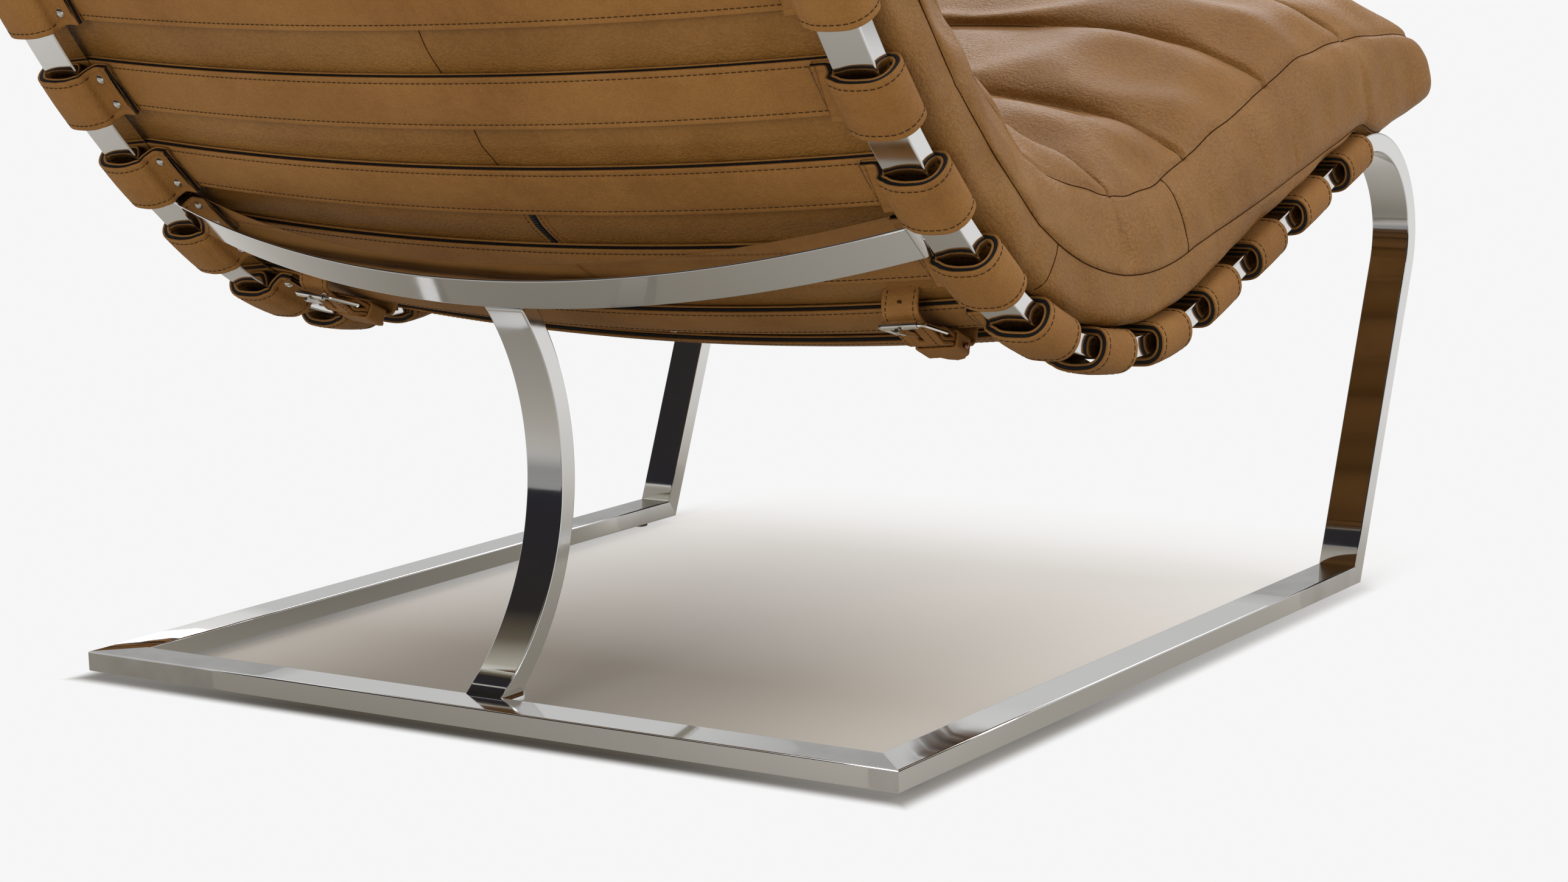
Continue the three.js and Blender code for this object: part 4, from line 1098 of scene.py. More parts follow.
def cushion_rows():
    """The cushion's rings as (places, x, out), and its seams' columns."""
    lower = clustered(LOWER_BAND_STEPS) * MID_SEAM_SHARE
    upper = MID_SEAM_SHARE + clustered(UPPER_BAND_STEPS) * (1 - MID_SEAM_SHARE)
    edge_lip = 1 - SEAM_LIP / CUSHION_SIDE_HEIGHT
    heights = np.concatenate([lower[:-1], upper[upper < edge_lip - CLOSE_SHARE], [edge_lip, 1]])
    face = clustered(FACE_STEPS) * 2 - 1
    face_lip = 1 - SEAM_LIP / cushion_half
    inner_face = face[np.abs(face) < face_lip - CLOSE_SHARE]
    face = np.array([-1, -face_lip, *inner_face, face_lip, 1])
    seam = BACK_SEAM_X / cushion_half
    lip = SEAM_LIP / cushion_half
    plain_bottom = [t for t in np.linspace(-1, 1, BOTTOM_POINTS) if abs(t - seam) > lip * 2]
    bottom = np.array(sorted([*plain_bottom, seam - lip, seam, seam + lip]))
    places = cushion_places()
    swell = swell_at(places)
    from_front = (places - cushion_front) / CUSHION_OVERHANG
    from_end = (cushion_end - places) / CUSHION_OVERHANG

    def both(nose, crown):
        return (smooth_table(NOSE_PLACE_SHARES, nose, from_front),
                smooth_table(END_PLACE_SHARES, crown, from_end))

    nose_under, end_under = both(NOSE_UNDER_SHARES, END_UNDER_SHARES)
    nose_edge, end_edge = both(NOSE_EDGE_SHARES, END_EDGE_SHARES)
    nose_width, end_width = both(NOSE_WIDTH_SHARES, END_WIDTH_SHARES)
    nose_crown, end_crown = both(NOSE_CROWN_SHARES, END_CROWN_SHARES)
    draw = CHANNEL_DRAW_IN * (1 - swell)
    under = rest + CUSHION_SIDE_HEIGHT * (nose_under + end_under)
    under -= NOSE_REST_DEPTH * bump_of(places, deck_start - NOSE_REST_SETBACK, NOSE_REST_REACH)
    edge = rest + CUSHION_SIDE_HEIGHT * (1 + nose_edge + end_edge)
    share = np.clip((places - lap_seam) / LAP_CHANNEL, 0, 1)
    on_back = share * share * (3 - 2 * share)
    edge += EDGE_SEAM_RAISE * nose_crown * (1 - on_back) - draw * DRAW_DOWN_SHARE
    half = cushion_half * nose_width * end_width - draw * DRAW_INWARD_SHARE
    tuck = (BACK_SEAM_TUCK + BACK_SEAM_EXTRA_TUCK) * on_back

    lower_band = np.clip(heights / MID_SEAM_SHARE, 0, 1)[None, :]
    band = np.clip((heights - MID_SEAM_SHARE) / (1 - MID_SEAM_SHARE), 0, 1)[None, :]
    mid_share = smooth_table(MID_SEAM_PLACES, MID_SEAM_SHARES, places)[:, None]
    up = lower_band * mid_share + band * (1 - mid_share)
    bulge = smooth_table(SIDE_HEIGHT_SHARES, SIDE_BULGE_SHARES, up)
    from_seam = np.abs(heights - MID_SEAM_SHARE)
    pinch = MID_SEAM_DEPTH * np.exp(-from_seam / MID_SEAM_PINCH_SHARE)[None, :]
    side_x = half[:, None] + CUSHION_SIDE_BULGE * SOFT_BULGE_SHARE * bulge - pinch
    side_x -= tuck[:, None] * up ** 3
    side_n = under[:, None] + (edge - under)[:, None] * up
    folds = waves(places, 0 * places, *FOLD_WAVES)[:, None]
    lap = bump_of(places, lap_seam - LAP_FOLD_SETBACK, LAP_FOLD_REACH)[:, None]
    side_x += (FOLD_HEIGHT + LAP_FOLD_HEIGHT * lap) * folds * np.sin(math.pi * band)
    for high, low, depth, width in SIDE_FOLDS:
        crease = bump_of(places[:, None], low + (high - low) * band, width)
        side_x -= depth * crease * np.sin(math.pi * band) ** 0.6 * (0.45 + 0.55 * band)
    for seam_place, share in ((PANEL_SEAM_PLACE, band), (LOWER_SEAM_PLACE, lower_band)):
        dip = CROSSING_SEAM_DEPTH * seam_dip(places, seam_place)
        side_x -= dip * np.sin(math.pi * share) ** 0.3

    face_half = half - tuck
    face_x = face_half[:, None] * face[None, ::-1]
    across = np.abs(face[::-1])
    dome = (1 - across ** 4) ** 0.85
    roll = (1 - across ** 6) ** 0.7
    ends = (nose_crown * end_crown)[:, None]
    face_n = edge[:, None] + ends * (
        CUSHION_CROWN * dome[None, :] + CHANNEL_RISE * swell[:, None] * roll[None, :]
    )
    puckers = waves(places[:, None], face_x, *PUCKER_WAVES)
    near_edge = bump_of(across, *PUCKER_EDGE_SHARES)[None, :]
    face_n += PUCKER_HEIGHT * puckers * (0.25 + near_edge) * np.clip(swell, 0.1, 1)[:, None]

    bottom_x = half[:, None] * bottom[None, :]
    gap = np.abs((places - first_strap + strap_pitch / 2) % strap_pitch - strap_pitch / 2)
    bared = (gap - STRAP_WIDTH / 2) / (strap_pitch / 2 - STRAP_WIDTH / 2)
    puff = STRAP_GAP_PUFF * np.clip(bared, 0, 1)
    on_straps = (places > deck_start) & (places < rail.length - TOP_STRAP_SETBACK)
    sag = bow_at(bottom_x) * nose_crown[:, None]
    middle_share = 1 - bottom ** 6
    bottom_n = under[:, None] - sag - (puff * on_straps)[:, None] * middle_share[None, :]
    bottom_n[:, int(np.argmin(np.abs(bottom - seam)))] += BACK_SEAM_DEPTH

    # Each ring runs along the bottom to +x, up that side, back over the top and down.
    columns_x = np.concatenate([bottom_x, side_x[:, 1:], face_x[:, 1:], -side_x[:, -2:0:-1]], 1)
    columns_n = np.concatenate([bottom_n, side_n[:, 1:], face_n[:, 1:], side_n[:, -2:0:-1]], 1)
    count = columns_x.shape[1]
    last = len(bottom) - 1
    mid = int(np.argmin(np.abs(heights - MID_SEAM_SHARE)))
    columns = {
        "mid_left": last + mid,
        "edge_left": last + len(heights) - 1,
        "edge_right": last + len(heights) + len(face) - 2,
        "mid_right": count - mid,
        "low_left": last,
        "low_right": 0,
        "back": int(np.argmin(np.abs(bottom - seam))),
    }
    return places, columns_x, columns_n, columns


def grid_normals(grid):
    """Outward unit normals of a closed grid of rings."""
    round_it = np.roll(grid, -1, axis=1) - np.roll(grid, 1, axis=1)
    along = np.gradient(grid, axis=0)
    normals = np.cross(round_it, along)
    normals /= np.maximum(np.linalg.norm(normals, axis=2), 1e-9)[..., None]
    outward = grid - grid.mean(axis=1, keepdims=True)
    return normals * np.sign((normals * outward).sum(axis=2).mean())


def end_caps(ring, outward, bulge):
    """Rings that close a cushion end with a softly rounded face."""
    middle = ring.mean(axis=0)
    caps = []
    for shrink, push in CAP_SHARES:
        caps.append(middle + (ring - middle) * shrink + outward * bulge * push)
    return caps


SWELL_CLOTH = {
    "quality": 6,
    "mass": 0.4,
    "tension_stiffness": 26,
    "compression_stiffness": 26,
    "shear_stiffness": 14,
    "bending_stiffness": 3.0,
    "use_pressure": True,
    "uniform_pressure_force": 3.6,
    "shrink_min": -0.022,
    "vertex_group_mass": "pins",
    "pin_stiffness": 1.0,
}


def inflate(obj, pins, limit):
    """How far air pressure moves each point between pinned seams, in metres and capped."""
    before = np.empty(len(obj.data.vertices) * 3)
    obj.data.vertices.foreach_get("co", before)
    before = before.reshape(-1, 3)
    group = obj.vertex_groups.new(name="pins")
    group.add(sorted(pins), 1.0, "REPLACE")
    modifier = obj.modifiers.new("swell", "CLOTH")
    for setting, value in SWELL_CLOTH.items():
        setattr(modifier.settings, setting, value)
    modifier.settings.effector_weights.gravity = 0.0
    modifier.collision_settings.use_collision = False
    scene = bpy.context.scene
    for step in range(1, SWELL_STEPS + 1):
        scene.frame_set(step)
    shaped = obj.evaluated_get(bpy.context.evaluated_depsgraph_get())
    after = np.empty(before.size)
    shaped.data.vertices.foreach_get("co", after)
    scene.frame_set(1)
    obj.modifiers.remove(modifier)
    obj.vertex_groups.clear()
    moved = after.reshape(-1, 3) - before
    far = np.linalg.norm(moved, axis=1)
    return moved * np.minimum(1, limit / np.maximum(far, 1e-9))[:, None]


def eased_field(field, held, passes):
    """A grid of moves with its sharpest crumples smoothed, where points aren't held."""
    for _ in range(passes):
        near = (np.roll(field, 1, axis=1) + np.roll(field, -1, axis=1)) / 2
        beside = field.copy()
        beside[1:-1] = (field[:-2] + field[2:]) / 2
        field = np.where(held[..., None], field, field * 0.4 + (near + beside) * 0.3)
    return field


def settled(obj, shape):
    """Where an object's own points lie once its modifiers have run, in millimetres."""
    shaped = obj.evaluated_get(bpy.context.evaluated_depsgraph_get())
    points = np.empty(len(shaped.data.vertices) * 3)
    shaped.data.vertices.foreach_get("co", points)
    points = points.reshape(-1, 3)[:shape[0] * shape[1]].reshape(shape) / MM
    points[..., 1] -= rear_face
    return points


def seam_shade_cord(track, normals, radius):
    """A thin dark cord laid along a seam: painted shade of the seam's sunk groove."""
    along = np.gradient(track, axis=0)
    along /= np.linalg.norm(along, axis=1)[:, None]
    beside = np.cross(along, normals)
    turns = np.linspace(0, 2 * math.pi, 6, endpoint=False)
    rings = [
        middle + radius * (np.outer(np.cos(turns), up) + np.outer(np.sin(turns), side))
        for middle, up, side in zip(track, normals, beside)
    ]
    return loft(rings)


def row_of(places, seam):
    return int(np.argmin(np.abs(places - seam)))


def make_cushion():
    """The long cushion: its closed form swollen by air, its sunk seams and its zip."""
    places, x, n, columns = cushion_rows()
    rings = on_deck(places[:, None], x, n)
    front_out = -side_vectors(deck_at(places[0])[2])[0]
    end_out = side_vectors(deck_at(places[-1])[2])[0]
    front = end_caps(rings[0], front_out, FRONT_CAP_BULGE)[::-1]
    end = end_caps(rings[-1], end_out, TOP_CAP_BULGE)
    grid = np.concatenate([front, rings, end])
    lead = len(front)
    body = slice(lead, lead + len(places))
    top = slice(columns["edge_left"], columns["edge_right"] + 1)
    bands = {
        "upper_left": slice(columns["mid_left"], columns["edge_left"] + 1),
        "upper_right": slice(columns["edge_right"], columns["mid_right"] + 1),
        "lower_left": slice(columns["low_left"], columns["mid_left"] + 1),
        "lower_right": slice(columns["mid_right"], grid.shape[1]),
    }
    seam_rows = [lead + row_of(places, seam) for seam in channel_seams]
    panel_row = lead + row_of(places, PANEL_SEAM_PLACE)
    lower_row = lead + row_of(places, LOWER_SEAM_PLACE)

    cushion = new_object("long_cushion", *loft(grid))
    finish(cushion, CUSHION_LEATHER, "cushion_leather", "cushion")
    held = np.zeros(grid.shape[:2], bool)
    held[:, :columns["low_left"] + 1] = True
    for name in ("mid_left", "mid_right", "edge_left", "edge_right"):
        held[:, columns[name]] = True
    held[:lead] = True
    held[body.stop:] = True
    held[seam_rows, top] = True
    held[panel_row, bands["upper_left"]] = True
    held[panel_row, bands["upper_right"]] = True
    moved = inflate(cushion, np.flatnonzero(held.reshape(-1)).tolist(), SWELL_LIMIT * MM)
    moved = eased_field(moved.reshape(grid.shape), held, SWELL_EASING_PASSES)
    grid = grid + moved / MM

    normals = grid_normals(grid)
    for name in ("edge_left", "edge_right"):
        grid[body, columns[name]] -= normals[body, columns[name]] * EDGE_SEAM_DEPTH
    for row in seam_rows[1:-1]:
        grid[row, top] -= normals[row, top] * CROSS_SEAM_DEPTH
    cushion.data.vertices.foreach_set("co", to_scene(grid).reshape(-1))
    cushion.data.update()
    smooth = cushion.modifiers.new("soft", "SUBSURF")
    smooth.levels = 1
    smooth.render_levels = 1

    shape = settled(cushion, grid.shape)
    lines = [(body, columns[name]) for name in columns]
    lines += [(row, top) for row in seam_rows[1:-1]]
    lines += [(panel_row, bands["upper_left"]), (panel_row, bands["upper_right"])]
    lines += [(lower_row, bands["lower_left"]), (lower_row, bands["lower_right"])]
    # Dark cords along every seam: painted shade in the seams' grooves.
    add_child(cushion, "cushion_seam_shade", SEAM_SHADE, *joined([
        seam_shade_cord(shape[line], normals[line], SEAM_RADIUS) for line in lines
    ]))
    make_zip(cushion, shape[body, columns["back"]], normals[body, columns["back"]], places)


def make_zip(cushion, track, normals, places):
    """The zip in the back seam: tape, coil and slider between two stitched lips of hide."""
    inside = (places > ZIP_SPAN[0]) & (places < ZIP_SPAN[1])
    line = resample(track[inside], ZIP_TOOTH_PITCH)
    outward = normals[inside].mean(axis=0)
    outward /= np.linalg.norm(outward)
    flat = np.array([(-1, -1), (1, -1), (1, 1), (-1, 1)])

    def strip(width, thickness, across, raised):
        section = flat * (width / 2, thickness / 2)
        return loft([placed(section, middle + ACROSS * across + outward * raised, ACROSS, outward)
                     for middle in line])

    def along_zip(section, spot, step, raised, span):
        return loft([placed(section, spot + outward * raised + step * shift, ACROSS, outward)
                     for shift in span])

    tape = strip(ZIP_TAPE_WIDTH, ZIP_TAPE_THICKNESS, 0, ZIP_TAPE_RAISE)
    add_child(cushion, "zip_tape", WEBBING, *tape)
    lips = []
    stitches = []
    for side in (-1, 1):
        spread = side * (ZIP_TAPE_WIDTH + ZIP_LIP_WIDTH) / 2
        lips.append(strip(ZIP_LIP_WIDTH, ZIP_LIP_HEIGHT, spread, ZIP_LIP_HEIGHT * 0.3))
        top = line + ACROSS * spread + outward * ZIP_LIP_HEIGHT * 0.82
        stitches.append(stitches_on(top, ZIP_STITCH_LENGTH, ZIP_STITCH_PITCH))
    hide = add_child(cushion, "zip_lips", CUSHION_LEATHER, *joined(lips))
    worn = hide.modifiers.new("worn", "BEVEL")
    worn.width = ZIP_LIP_HEIGHT * ZIP_LIP_WORN_SHARE * MM
    worn.segments = 2
    add_child(cushion, "zip_stitching", THREAD, *stitch_mesh(stitches, STITCH_RADIUS))

    along = np.gradient(line, axis=0)
    along /= np.linalg.norm(along, axis=1)[:, None]
    tooth = np.array([(-1, 0), (1, 0), (0.8, 0.8), (-0.8, 0.8)]) * ZIP_TOOTH_HALF
    tooth_span = (-ZIP_TOOTH_DEPTH, ZIP_TOOTH_DEPTH)
    teeth = [along_zip(tooth, spot, step, ZIP_TOOTH_RAISE, tooth_span)
             for spot, step in zip(line[1:-1], along[1:-1])]
    add_child(cushion, "zip_coil", ZIP_COIL, *joined(teeth))
    shape = [(-1, 0), (1, 0), (1, 1), (0.5, 1.5), (-0.5, 1.5), (-1, 1)]
    slider = np.array(shape) * ZIP_SLIDER_HALF
    add_child(cushion, "zip_slider", NICKEL_DARK,
              *along_zip(slider, line[2], along[2], ZIP_SLIDER_RAISE, ZIP_SLIDER_SPAN))


# Belts

BELT_WIDTH = 28.0
BELT_VOXEL = 0.5
BELT_WORN_PASSES = 7
BELT_STITCH_INSET = 3.4
BELT_STITCH_LENGTH = 2.8
BELT_STITCH_PITCH = 4.0
BELT_STITCH_SHARE = 1.15
BELT_TRACK_INSET = 1.0
BELT_TRACK_STEP = 0.6
BELT_TRACK_GAP = 4.0
BELT_LEAST_POINTS = 12
BELT_HOLE_RADIUS = 2.0
BELT_HOLE_PITCH = 15.0
BELT_HOLE_RAISE = 0.12
BELT_HOLE_SINK = 0.4
BELT_HOLE_SHARES = (-0.7, 1)
BUCKLE_EDGE = 0.3
BUCKLE_EDGE_ANGLE = 40
STUD_RADIUS = 2.3
STUD_HEIGHT = 2.6
STUD_SINK = 1.2
STUD_NECK_SHARE = 0.7
STUD_SIDES = 20
HOLE_SIDES = 16
FAR_BEHIND = 5000.0


def soften(obj, material):
    """Cut leather: a CAD strip with its edges worn round."""
    obj.data.materials.clear()
    obj.data.materials.append(material)
    fine = obj.modifiers.new("fine", "REMESH")
    fine.mode = "VOXEL"
    fine.voxel_size = BELT_VOXEL * MM
    fine.use_smooth_shade = True
    worn = obj.modifiers.new("worn", "SMOOTH")
    worn.factor = 0.5
    worn.iterations = BELT_WORN_PASSES


def round_edges(obj, material):
    """Plated wire: a CAD piece with its sharp edges broken."""
    obj.data.materials.clear()
    obj.data.materials.append(material)
    bevel = obj.modifiers.new("edge", "BEVEL")
    bevel.width = BUCKLE_EDGE * MM
    bevel.segments = 2
    bevel.limit_method = "ANGLE"
    bevel.angle_limit = math.radians(BUCKLE_EDGE_ANGLE)


def rear_surface(obj, x, heights):
    """Points in millimetres where level lines from behind meet a piece."""
    turn = obj.matrix_world
    forward = Vector((0, -1, 0))
    tree = BVHTree.FromPolygons([turn @ vertex.co for vertex in obj.data.vertices],
                                [face.vertices[:] for face in obj.data.polygons])
    hits = [tree.ray_cast(Vector((x, FAR_BEHIND * MM, z)), forward)[0] for z in heights]
    points = np.array([hit for hit in hits if hit is not None]) / MM
    points[:, 1] -= rear_face
    return points


def stitch_belt(name, billet, low, high):
    """A row of stitches down each edge of a belt's long strip, where it can be seen."""
    middle = (low[0] + high[0]) / 2
    margin = BELT_TRACK_INSET * MM
    heights = np.arange(high[2] - margin, low[2] + margin, -BELT_TRACK_STEP * MM)
    stitches = []
    for edge in (-1, 1):
        across = middle + edge * (BELT_WIDTH / 2 - BELT_STITCH_INSET) * MM
        track = rear_surface(billet, across, heights)
        jumps = np.linalg.norm(np.diff(track, axis=0), axis=1) > BELT_TRACK_GAP
        for run in np.split(track, np.flatnonzero(jumps) + 1):
            if len(run) > BELT_LEAST_POINTS:
                stitches.append(stitches_on(run, BELT_STITCH_LENGTH, BELT_STITCH_PITCH))
    mesh = stitch_mesh(stitches, STITCH_RADIUS * BELT_STITCH_SHARE)
    new_object(f"belt_stitching_{name}", *mesh).data.materials.append(THREAD)


def punch_belt(name, billet, middle):
    """The free holes of a belt, above the roller and below it, as dark discs of painted shade on
    the billet.
    """
    low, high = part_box(f"buckle_roller_{name}")
    level = (low[2] + high[2]) / 2
    heights = [level + BELT_HOLE_PITCH * MM * share for share in BELT_HOLE_SHARES]
    disc = [(0, BELT_HOLE_RAISE), (BELT_HOLE_RADIUS * 0.8, BELT_HOLE_RAISE),
            (BELT_HOLE_RADIUS, 0), (0, -BELT_HOLE_SINK)]
    holes = [lathe(disc, spot, REARWARD, HOLE_SIDES)
             for spot in rear_surface(billet, middle, heights)]
    new_object(f"belt_holes_{name}", *joined(holes)).data.materials.append(SEAM_SHADE)


def stud_keeper(name, side):
    """The copper stud that closes a keeper, on its outer edge."""
    low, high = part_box(f"belt_keeper_{name}")
    face = high[0] if side > 0 else low[0]
    spot = np.array([face, (low[1] + high[1]) / 2, (low[2] + high[2]) / 2]) / MM
    spot[1] -= rear_face
    neck = STUD_RADIUS * STUD_NECK_SHARE
    head = [(0, -STUD_SINK), (neck, -STUD_SINK), (neck, STUD_HEIGHT * 0.5),
            (STUD_RADIUS, STUD_HEIGHT * 0.55), (STUD_RADIUS, STUD_HEIGHT * 0.85),
            (neck, STUD_HEIGHT), (0, STUD_HEIGHT)]
    stud = new_object(f"keeper_stud_{name}", *lathe(head, spot, ACROSS * side, STUD_SIDES))
    stud.data.materials.append(COPPER)


def dress_belts():
    nodes = frame["nodes"]
    for name, side in SIDES.items():
        for piece in ("belt_chape", "belt_billet", "belt_keeper"):
            soften(nodes[f"{piece}_{name}"], BELT_HIDE)
        for piece in ("buckle_frame", "buckle_roller", "buckle_prong"):
            round_edges(nodes[f"{piece}_{name}"], NICKEL)
        billet = nodes[f"belt_billet_{name}"]
        low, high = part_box(f"belt_billet_{name}")
        stitch_belt(name, billet, low, high)
        punch_belt(name, billet, (low[0] + high[0]) / 2)
        stud_keeper(name, side)


# Camera, floor and lights

def make_camera():
    """The photograph's own view, from its solved place and turns."""
    back = np.array([
        math.sin(CAMERA_YAW) * math.cos(CAMERA_PITCH),
        math.cos(CAMERA_YAW) * math.cos(CAMERA_PITCH),
        math.sin(CAMERA_PITCH),
    ])
    right = np.cross(-back, UP)
    right /= np.linalg.norm(right)
    up = np.cross(right, -back)
    c, s = math.cos(CAMERA_ROLL), math.sin(CAMERA_ROLL)
    right, up = c * right + s * up, c * up - s * right
    camera = bpy.data.cameras.new("camera")
    camera.sensor_width = SENSOR_WIDTH
    camera.lens = CAMERA_FOCAL_PIXELS / PHOTO_WIDTH * SENSOR_WIDTH
    camera.clip_start = CAMERA_NEAREST * MM
    obj = bpy.data.objects.new("camera", camera)
    bpy.context.scene.collection.objects.link(obj)
    place = to_scene(CAMERA_PLACE)
    rows = [[right[i], up[i], back[i], place[i]] for i in range(3)]
    obj.matrix_world = Matrix([*rows, [0, 0, 0, 1]])
    bpy.context.scene.camera = obj


# Each light: its name, place, target, size, power and whether the steel mirrors it
LIGHTS = [
    ("overhead", (0.1, -0.5, 2.7), (0, -0.1, 0), (2.2, 2.0), 24, True),
    ("key", (-2.5, -1.0, 1.7), (0, 0, 0.2), (1.7, 1.5), 36, True),
    ("front_window", (1.0, -2.7, 1.85), (0, -0.1, 0.4), (1.9, 0.9), 18, True),
    ("rear_fill", (-0.5, 3.2, 0.9), (0, 0.2, 0.4), (1.4, 1.2), 30, False),
]


def area_light(name, place, target, size, power, mirrored):
    light = bpy.data.lights.new(name, "AREA")
    light.shape = "RECTANGLE"
    light.size, light.size_y = size
    light.energy = power
    obj = bpy.data.objects.new(name, light)
    obj.location = place
    obj.rotation_euler = (Vector(target) - Vector(place)).to_track_quat("-Z", "Y").to_euler()
    obj.visible_glossy = mirrored
    bpy.context.scene.collection.objects.link(obj)


# The stage's places and reaches are in metres, as the scene has them.
FLOOR_REACH = 12.0
BACKDROP = 0.922
AMBIENT = 0.60
FLOOR_BOUNCE = 0.62

# The floor's shade, partly cast by the lamps and partly painted into its colour and its blend with
# the backdrop, is deepest in front of the stay and fades out past the open front.
SHADE_PLACE = (0.0, 0.16, 0.0)
MIRRORED_SHADE_PLACE = (0.14, 0.0, 0.0)
SHADOW_FADE = 0.018
SHADOW_SPAN = (-0.60, 0.10)
SHADOW_SHARES = [(0.0, 0.0), (0.17, 0.19), (0.29, 0.41), (0.37, 0.54), (0.6, 0.71),
                 (0.86, 0.87), (1.0, 1.0)]
SHADOW_SIDES = (0.12, 0.36)
FRONT_SOFTNESS = 0.8
BAR_SHADOW = (-0.034, -0.002)
REAR_DIM = (0.5, 1.3)
BOUNCE_SHADE_PLACE = (0.05, -0.24, 0.0)


def grey(value, warmth=0.0):
    return (value, value * (1 - 0.75 * warmth), value * (1 - 2 * warmth), 1.0)


def mixed_shader(tree, share, first, second):
    node = add_node(tree, "ShaderNodeMixShader", {0: share})
    tree.links.new(first.outputs[0], node.inputs[1])
    tree.links.new(second.outputs[0], node.inputs[2])
    return node


def make_floor():
    mesh = bpy.data.meshes.new("floor")
    square = ((-1, -1), (1, -1), (1, 1), (-1, 1))
    corners = [(x * FLOOR_REACH, y * FLOOR_REACH, 0) for x, y in square]
    mesh.from_pydata(corners, [], [(0, 1, 2, 3)])
    floor = bpy.data.objects.new("floor", mesh)
    bpy.context.scene.collection.objects.link(floor)
    mesh.materials.append(floor_material())
    return floor


def floor_material():
    """Pale paper to the camera, its colour darkened near the stay and beside the bars as painted
    shade; to mirrors a glowing ground with painted shade near the chair, dimmed behind it; to the
    rest a glowing warm bounce with painted shade under the seat.
    """
    material = bpy.data.materials.new("floor")
    material.use_nodes = True
    tree = material.node_tree
    tree.nodes.clear()
    place = add_node(tree, "ShaderNodeTexCoord").outputs["Object"]
    split = add_node(tree, "ShaderNodeSeparateXYZ", {0: place})
    away = add_node(tree, "ShaderNodeVectorMath", {0: place, 1: SHADE_PLACE},
                    operation="DISTANCE").outputs["Value"]

    aside = math_node(tree, "ABSOLUTE", split.outputs["X"], 0.0)
    beside = math_node(tree, "SUBTRACT", aside, FRAME_WIDTH * MM / 2)
    behind = math_node(tree, "SUBTRACT", split.outputs["Y"], rear_face * MM)
    outside = math_node(tree, "MAXIMUM", beside, behind)
    front = (rear_face - BASE_LENGTH) * MM
    ahead = math_node(tree, "MINIMUM", math_node(tree, "SUBTRACT", split.outputs["Y"], front), 0.0)
    softened = math_node(tree, "MULTIPLY", ahead, FRONT_SOFTNESS)
    within = map_range(tree, outside, 1.0, 0.0, softened, SHADOW_FADE)
    start, end = SHADOW_SPAN
    travelled = math_node(tree, "DIVIDE", math_node(tree, "SUBTRACT", split.outputs["Y"], start),
                          end - start)
    depth = ramp(tree, travelled, [(stop, grey(value)) for stop, value in SHADOW_SHARES])
    paler = math_node(tree, "MULTIPLY", depth, map_range(tree, aside, 1.0, 0.84, *SHADOW_SIDES))
    share = math_node(tree, "MULTIPLY", within, paler)

    # Painted shade: the floor's colour darkens and warms toward SHADE_PLACE, over the shadows that
    # the lamps cast.
    tone = ramp(tree, map_range(tree, away, 0.0, 1.0, 0.0, 0.5), [
        (0.0, (0.56, 0.525, 0.465)), (1.0, (0.79, 0.71, 0.60)),
    ])
    # Painted shadow: the colour darkens in a narrow strip just outside the bars (BAR_SHADOW), for
    # their contact shadow.
    colour_with_painted_shade = add_node(tree, "ShaderNodeVectorMath", {0: tone}, operation="SCALE")
    tree.links.new(map_range(tree, outside, 1.0, 0.3, *BAR_SHADOW), colour_with_painted_shade.inputs["Scale"])
    matt = add_node(tree, "ShaderNodeBsdfDiffuse", {"Color": colour_with_painted_shade.outputs[0]})
    sweep = add_node(tree, "ShaderNodeEmission", {"Color": grey(BACKDROP)})
    seen = mixed_shader(tree, share, sweep, matt)
    # To mirrors the floor glows: painted shade, darkest near the chair and dimmer behind it.
    mirrored_away = add_node(tree, "ShaderNodeVectorMath", {0: place, 1: MIRRORED_SHADE_PLACE},
                             operation="DISTANCE").outputs["Value"]
    mirrored = add_node(tree, "ShaderNodeEmission", {"Color": ramp(
        tree, math_node(tree, "DIVIDE", mirrored_away, 3.0), [
            (0.0, grey(0.16, 0.12)), (0.10, grey(0.27, 0.11)), (0.20, grey(0.43, 0.08)),
            (0.32, grey(0.66, 0.03)), (0.5, grey(0.78, 0.01)), (1.0, grey(0.81)),
        ]), "Strength": map_range(tree, split.outputs["Y"], 1.0, 0.38, *REAR_DIM)})
    # To other rays the floor glows as a warm bounce: painted shade, darker under the seat.
    under_seat = add_node(tree, "ShaderNodeVectorMath", {0: place, 1: BOUNCE_SHADE_PLACE},
                          operation="DISTANCE").outputs["Value"]
    bounce = add_node(tree, "ShaderNodeEmission", {"Color": ramp(
        tree, map_range(tree, under_seat, 0.0, 1.0, 0.15, 0.9), [
            (0.0, grey(FLOOR_BOUNCE * 0.15, 0.08)), (1.0, grey(FLOOR_BOUNCE * 1.2, 0.04)),
        ])})
    path = tree.nodes.new("ShaderNodeLightPath")
    unseen = mixed_shader(tree, path.outputs["Is Glossy Ray"], bounce, mirrored)
    both = mixed_shader(tree, path.outputs["Is Camera Ray"], unseen, seen)
    output = tree.nodes.new("ShaderNodeOutputMaterial")
    tree.links.new(both.outputs[0], output.inputs[0])
    return material


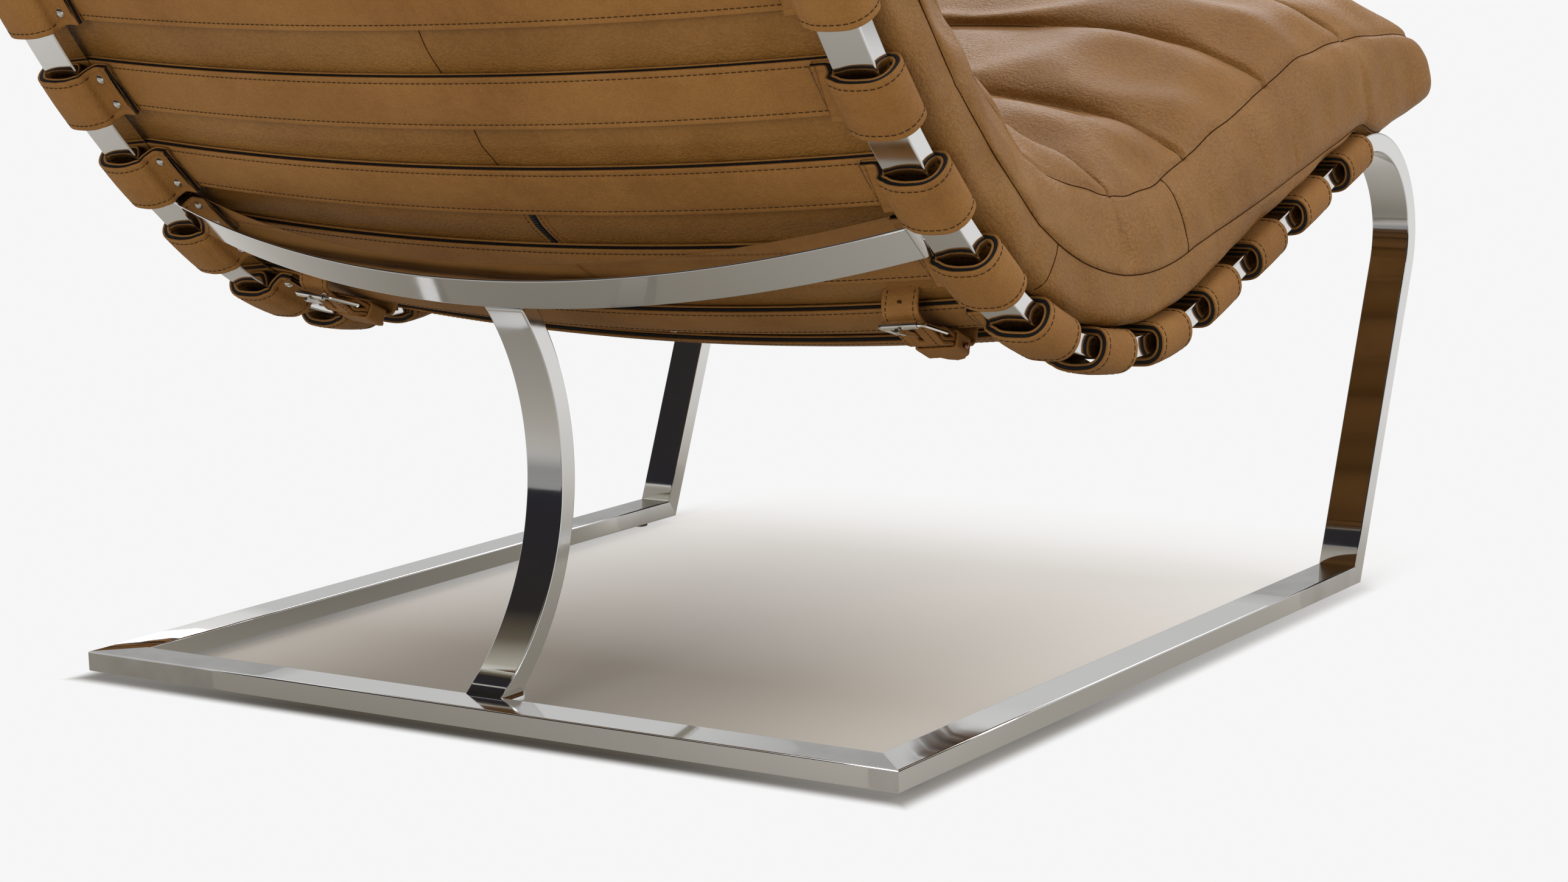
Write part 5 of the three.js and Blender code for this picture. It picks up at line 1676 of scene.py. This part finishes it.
def room_shade(tree, direction):
    """What polished steel mirrors of the room: dark behind the chair, windows high up."""
    split = add_node(tree, "ShaderNodeSeparateXYZ", {0: direction})
    height = math_node(tree, "MAXIMUM", split.outputs["Z"], 0.0)
    panes = add_node(tree, "ShaderNodeTexNoise", {
        "Vector": direction, "Scale": 5.0, "Detail": 1.0,
    }).outputs["Fac"]
    dark = ramp(tree, height, [
        (0.0, (0.022, 0.021, 0.026)), (0.60, (0.024, 0.021, 0.020)), (0.70, (0.12, 0.10, 0.07)),
        (0.77, (0.50, 0.48, 0.40)), (0.81, (0.13, 0.12, 0.09)), (0.90, (0.45, 0.44, 0.42)),
        (1.0, (0.80, 0.80, 0.80)),
    ])
    light = ramp(tree, height, [
        (0.0, grey(0.44, 0.01)), (0.14, grey(0.52)), (0.45, grey(0.78)), (1.0, grey(0.92)),
    ])
    uneven = math_node(tree, "ADD", split.outputs["Y"], math_node(
        tree, "MULTIPLY", math_node(tree, "SUBTRACT", panes, 0.5), 0.35))
    mix = add_node(tree, "ShaderNodeMix", {0: map_range(tree, uneven, 0.0, 1.0, 0.05, 0.22)},
                   data_type="RGBA")
    tree.links.new(light, mix.inputs[6])
    tree.links.new(dark, mix.inputs[7])
    return mix.outputs[2]


def make_world():
    world = bpy.data.worlds.new("studio")
    bpy.context.scene.world = world
    world.use_nodes = True
    tree = world.node_tree
    tree.nodes.clear()
    path = tree.nodes.new("ShaderNodeLightPath")
    direction = add_node(tree, "ShaderNodeTexCoord").outputs["Generated"]
    ambient = add_node(tree, "ShaderNodeBackground", {"Color": grey(AMBIENT)})
    mirrored = add_node(tree, "ShaderNodeBackground", {"Color": room_shade(tree, direction)})
    backdrop = add_node(tree, "ShaderNodeBackground", {"Color": grey(BACKDROP)})
    lit = mixed_shader(tree, path.outputs["Is Glossy Ray"], ambient, mirrored)
    both = mixed_shader(tree, path.outputs["Is Camera Ray"], lit, backdrop)
    output = tree.nodes.new("ShaderNodeOutputWorld")
    tree.links.new(both.outputs[0], output.inputs[0])


def make_stage():
    floor = make_floor()
    make_world()
    for light in LIGHTS:
        area_light(*light)


make_base_and_rails()
crossbar_place = (strap_place(SEAT_STRAP_COUNT) + strap_place(SEAT_STRAP_COUNT + 1)) / 2
make_crossbar("lower_crossbar", "back_crossbar", crossbar_place)
make_crossbar("upper_crossbar", "top_crossbar", rail.length - BAR_WIDTH / 2)
make_support(crossbar_place)
make_glides()
for strap_index in range(STRAP_COUNT):
    make_strap(strap_index)
make_cushion()
dress_belts()
make_camera()
make_stage()
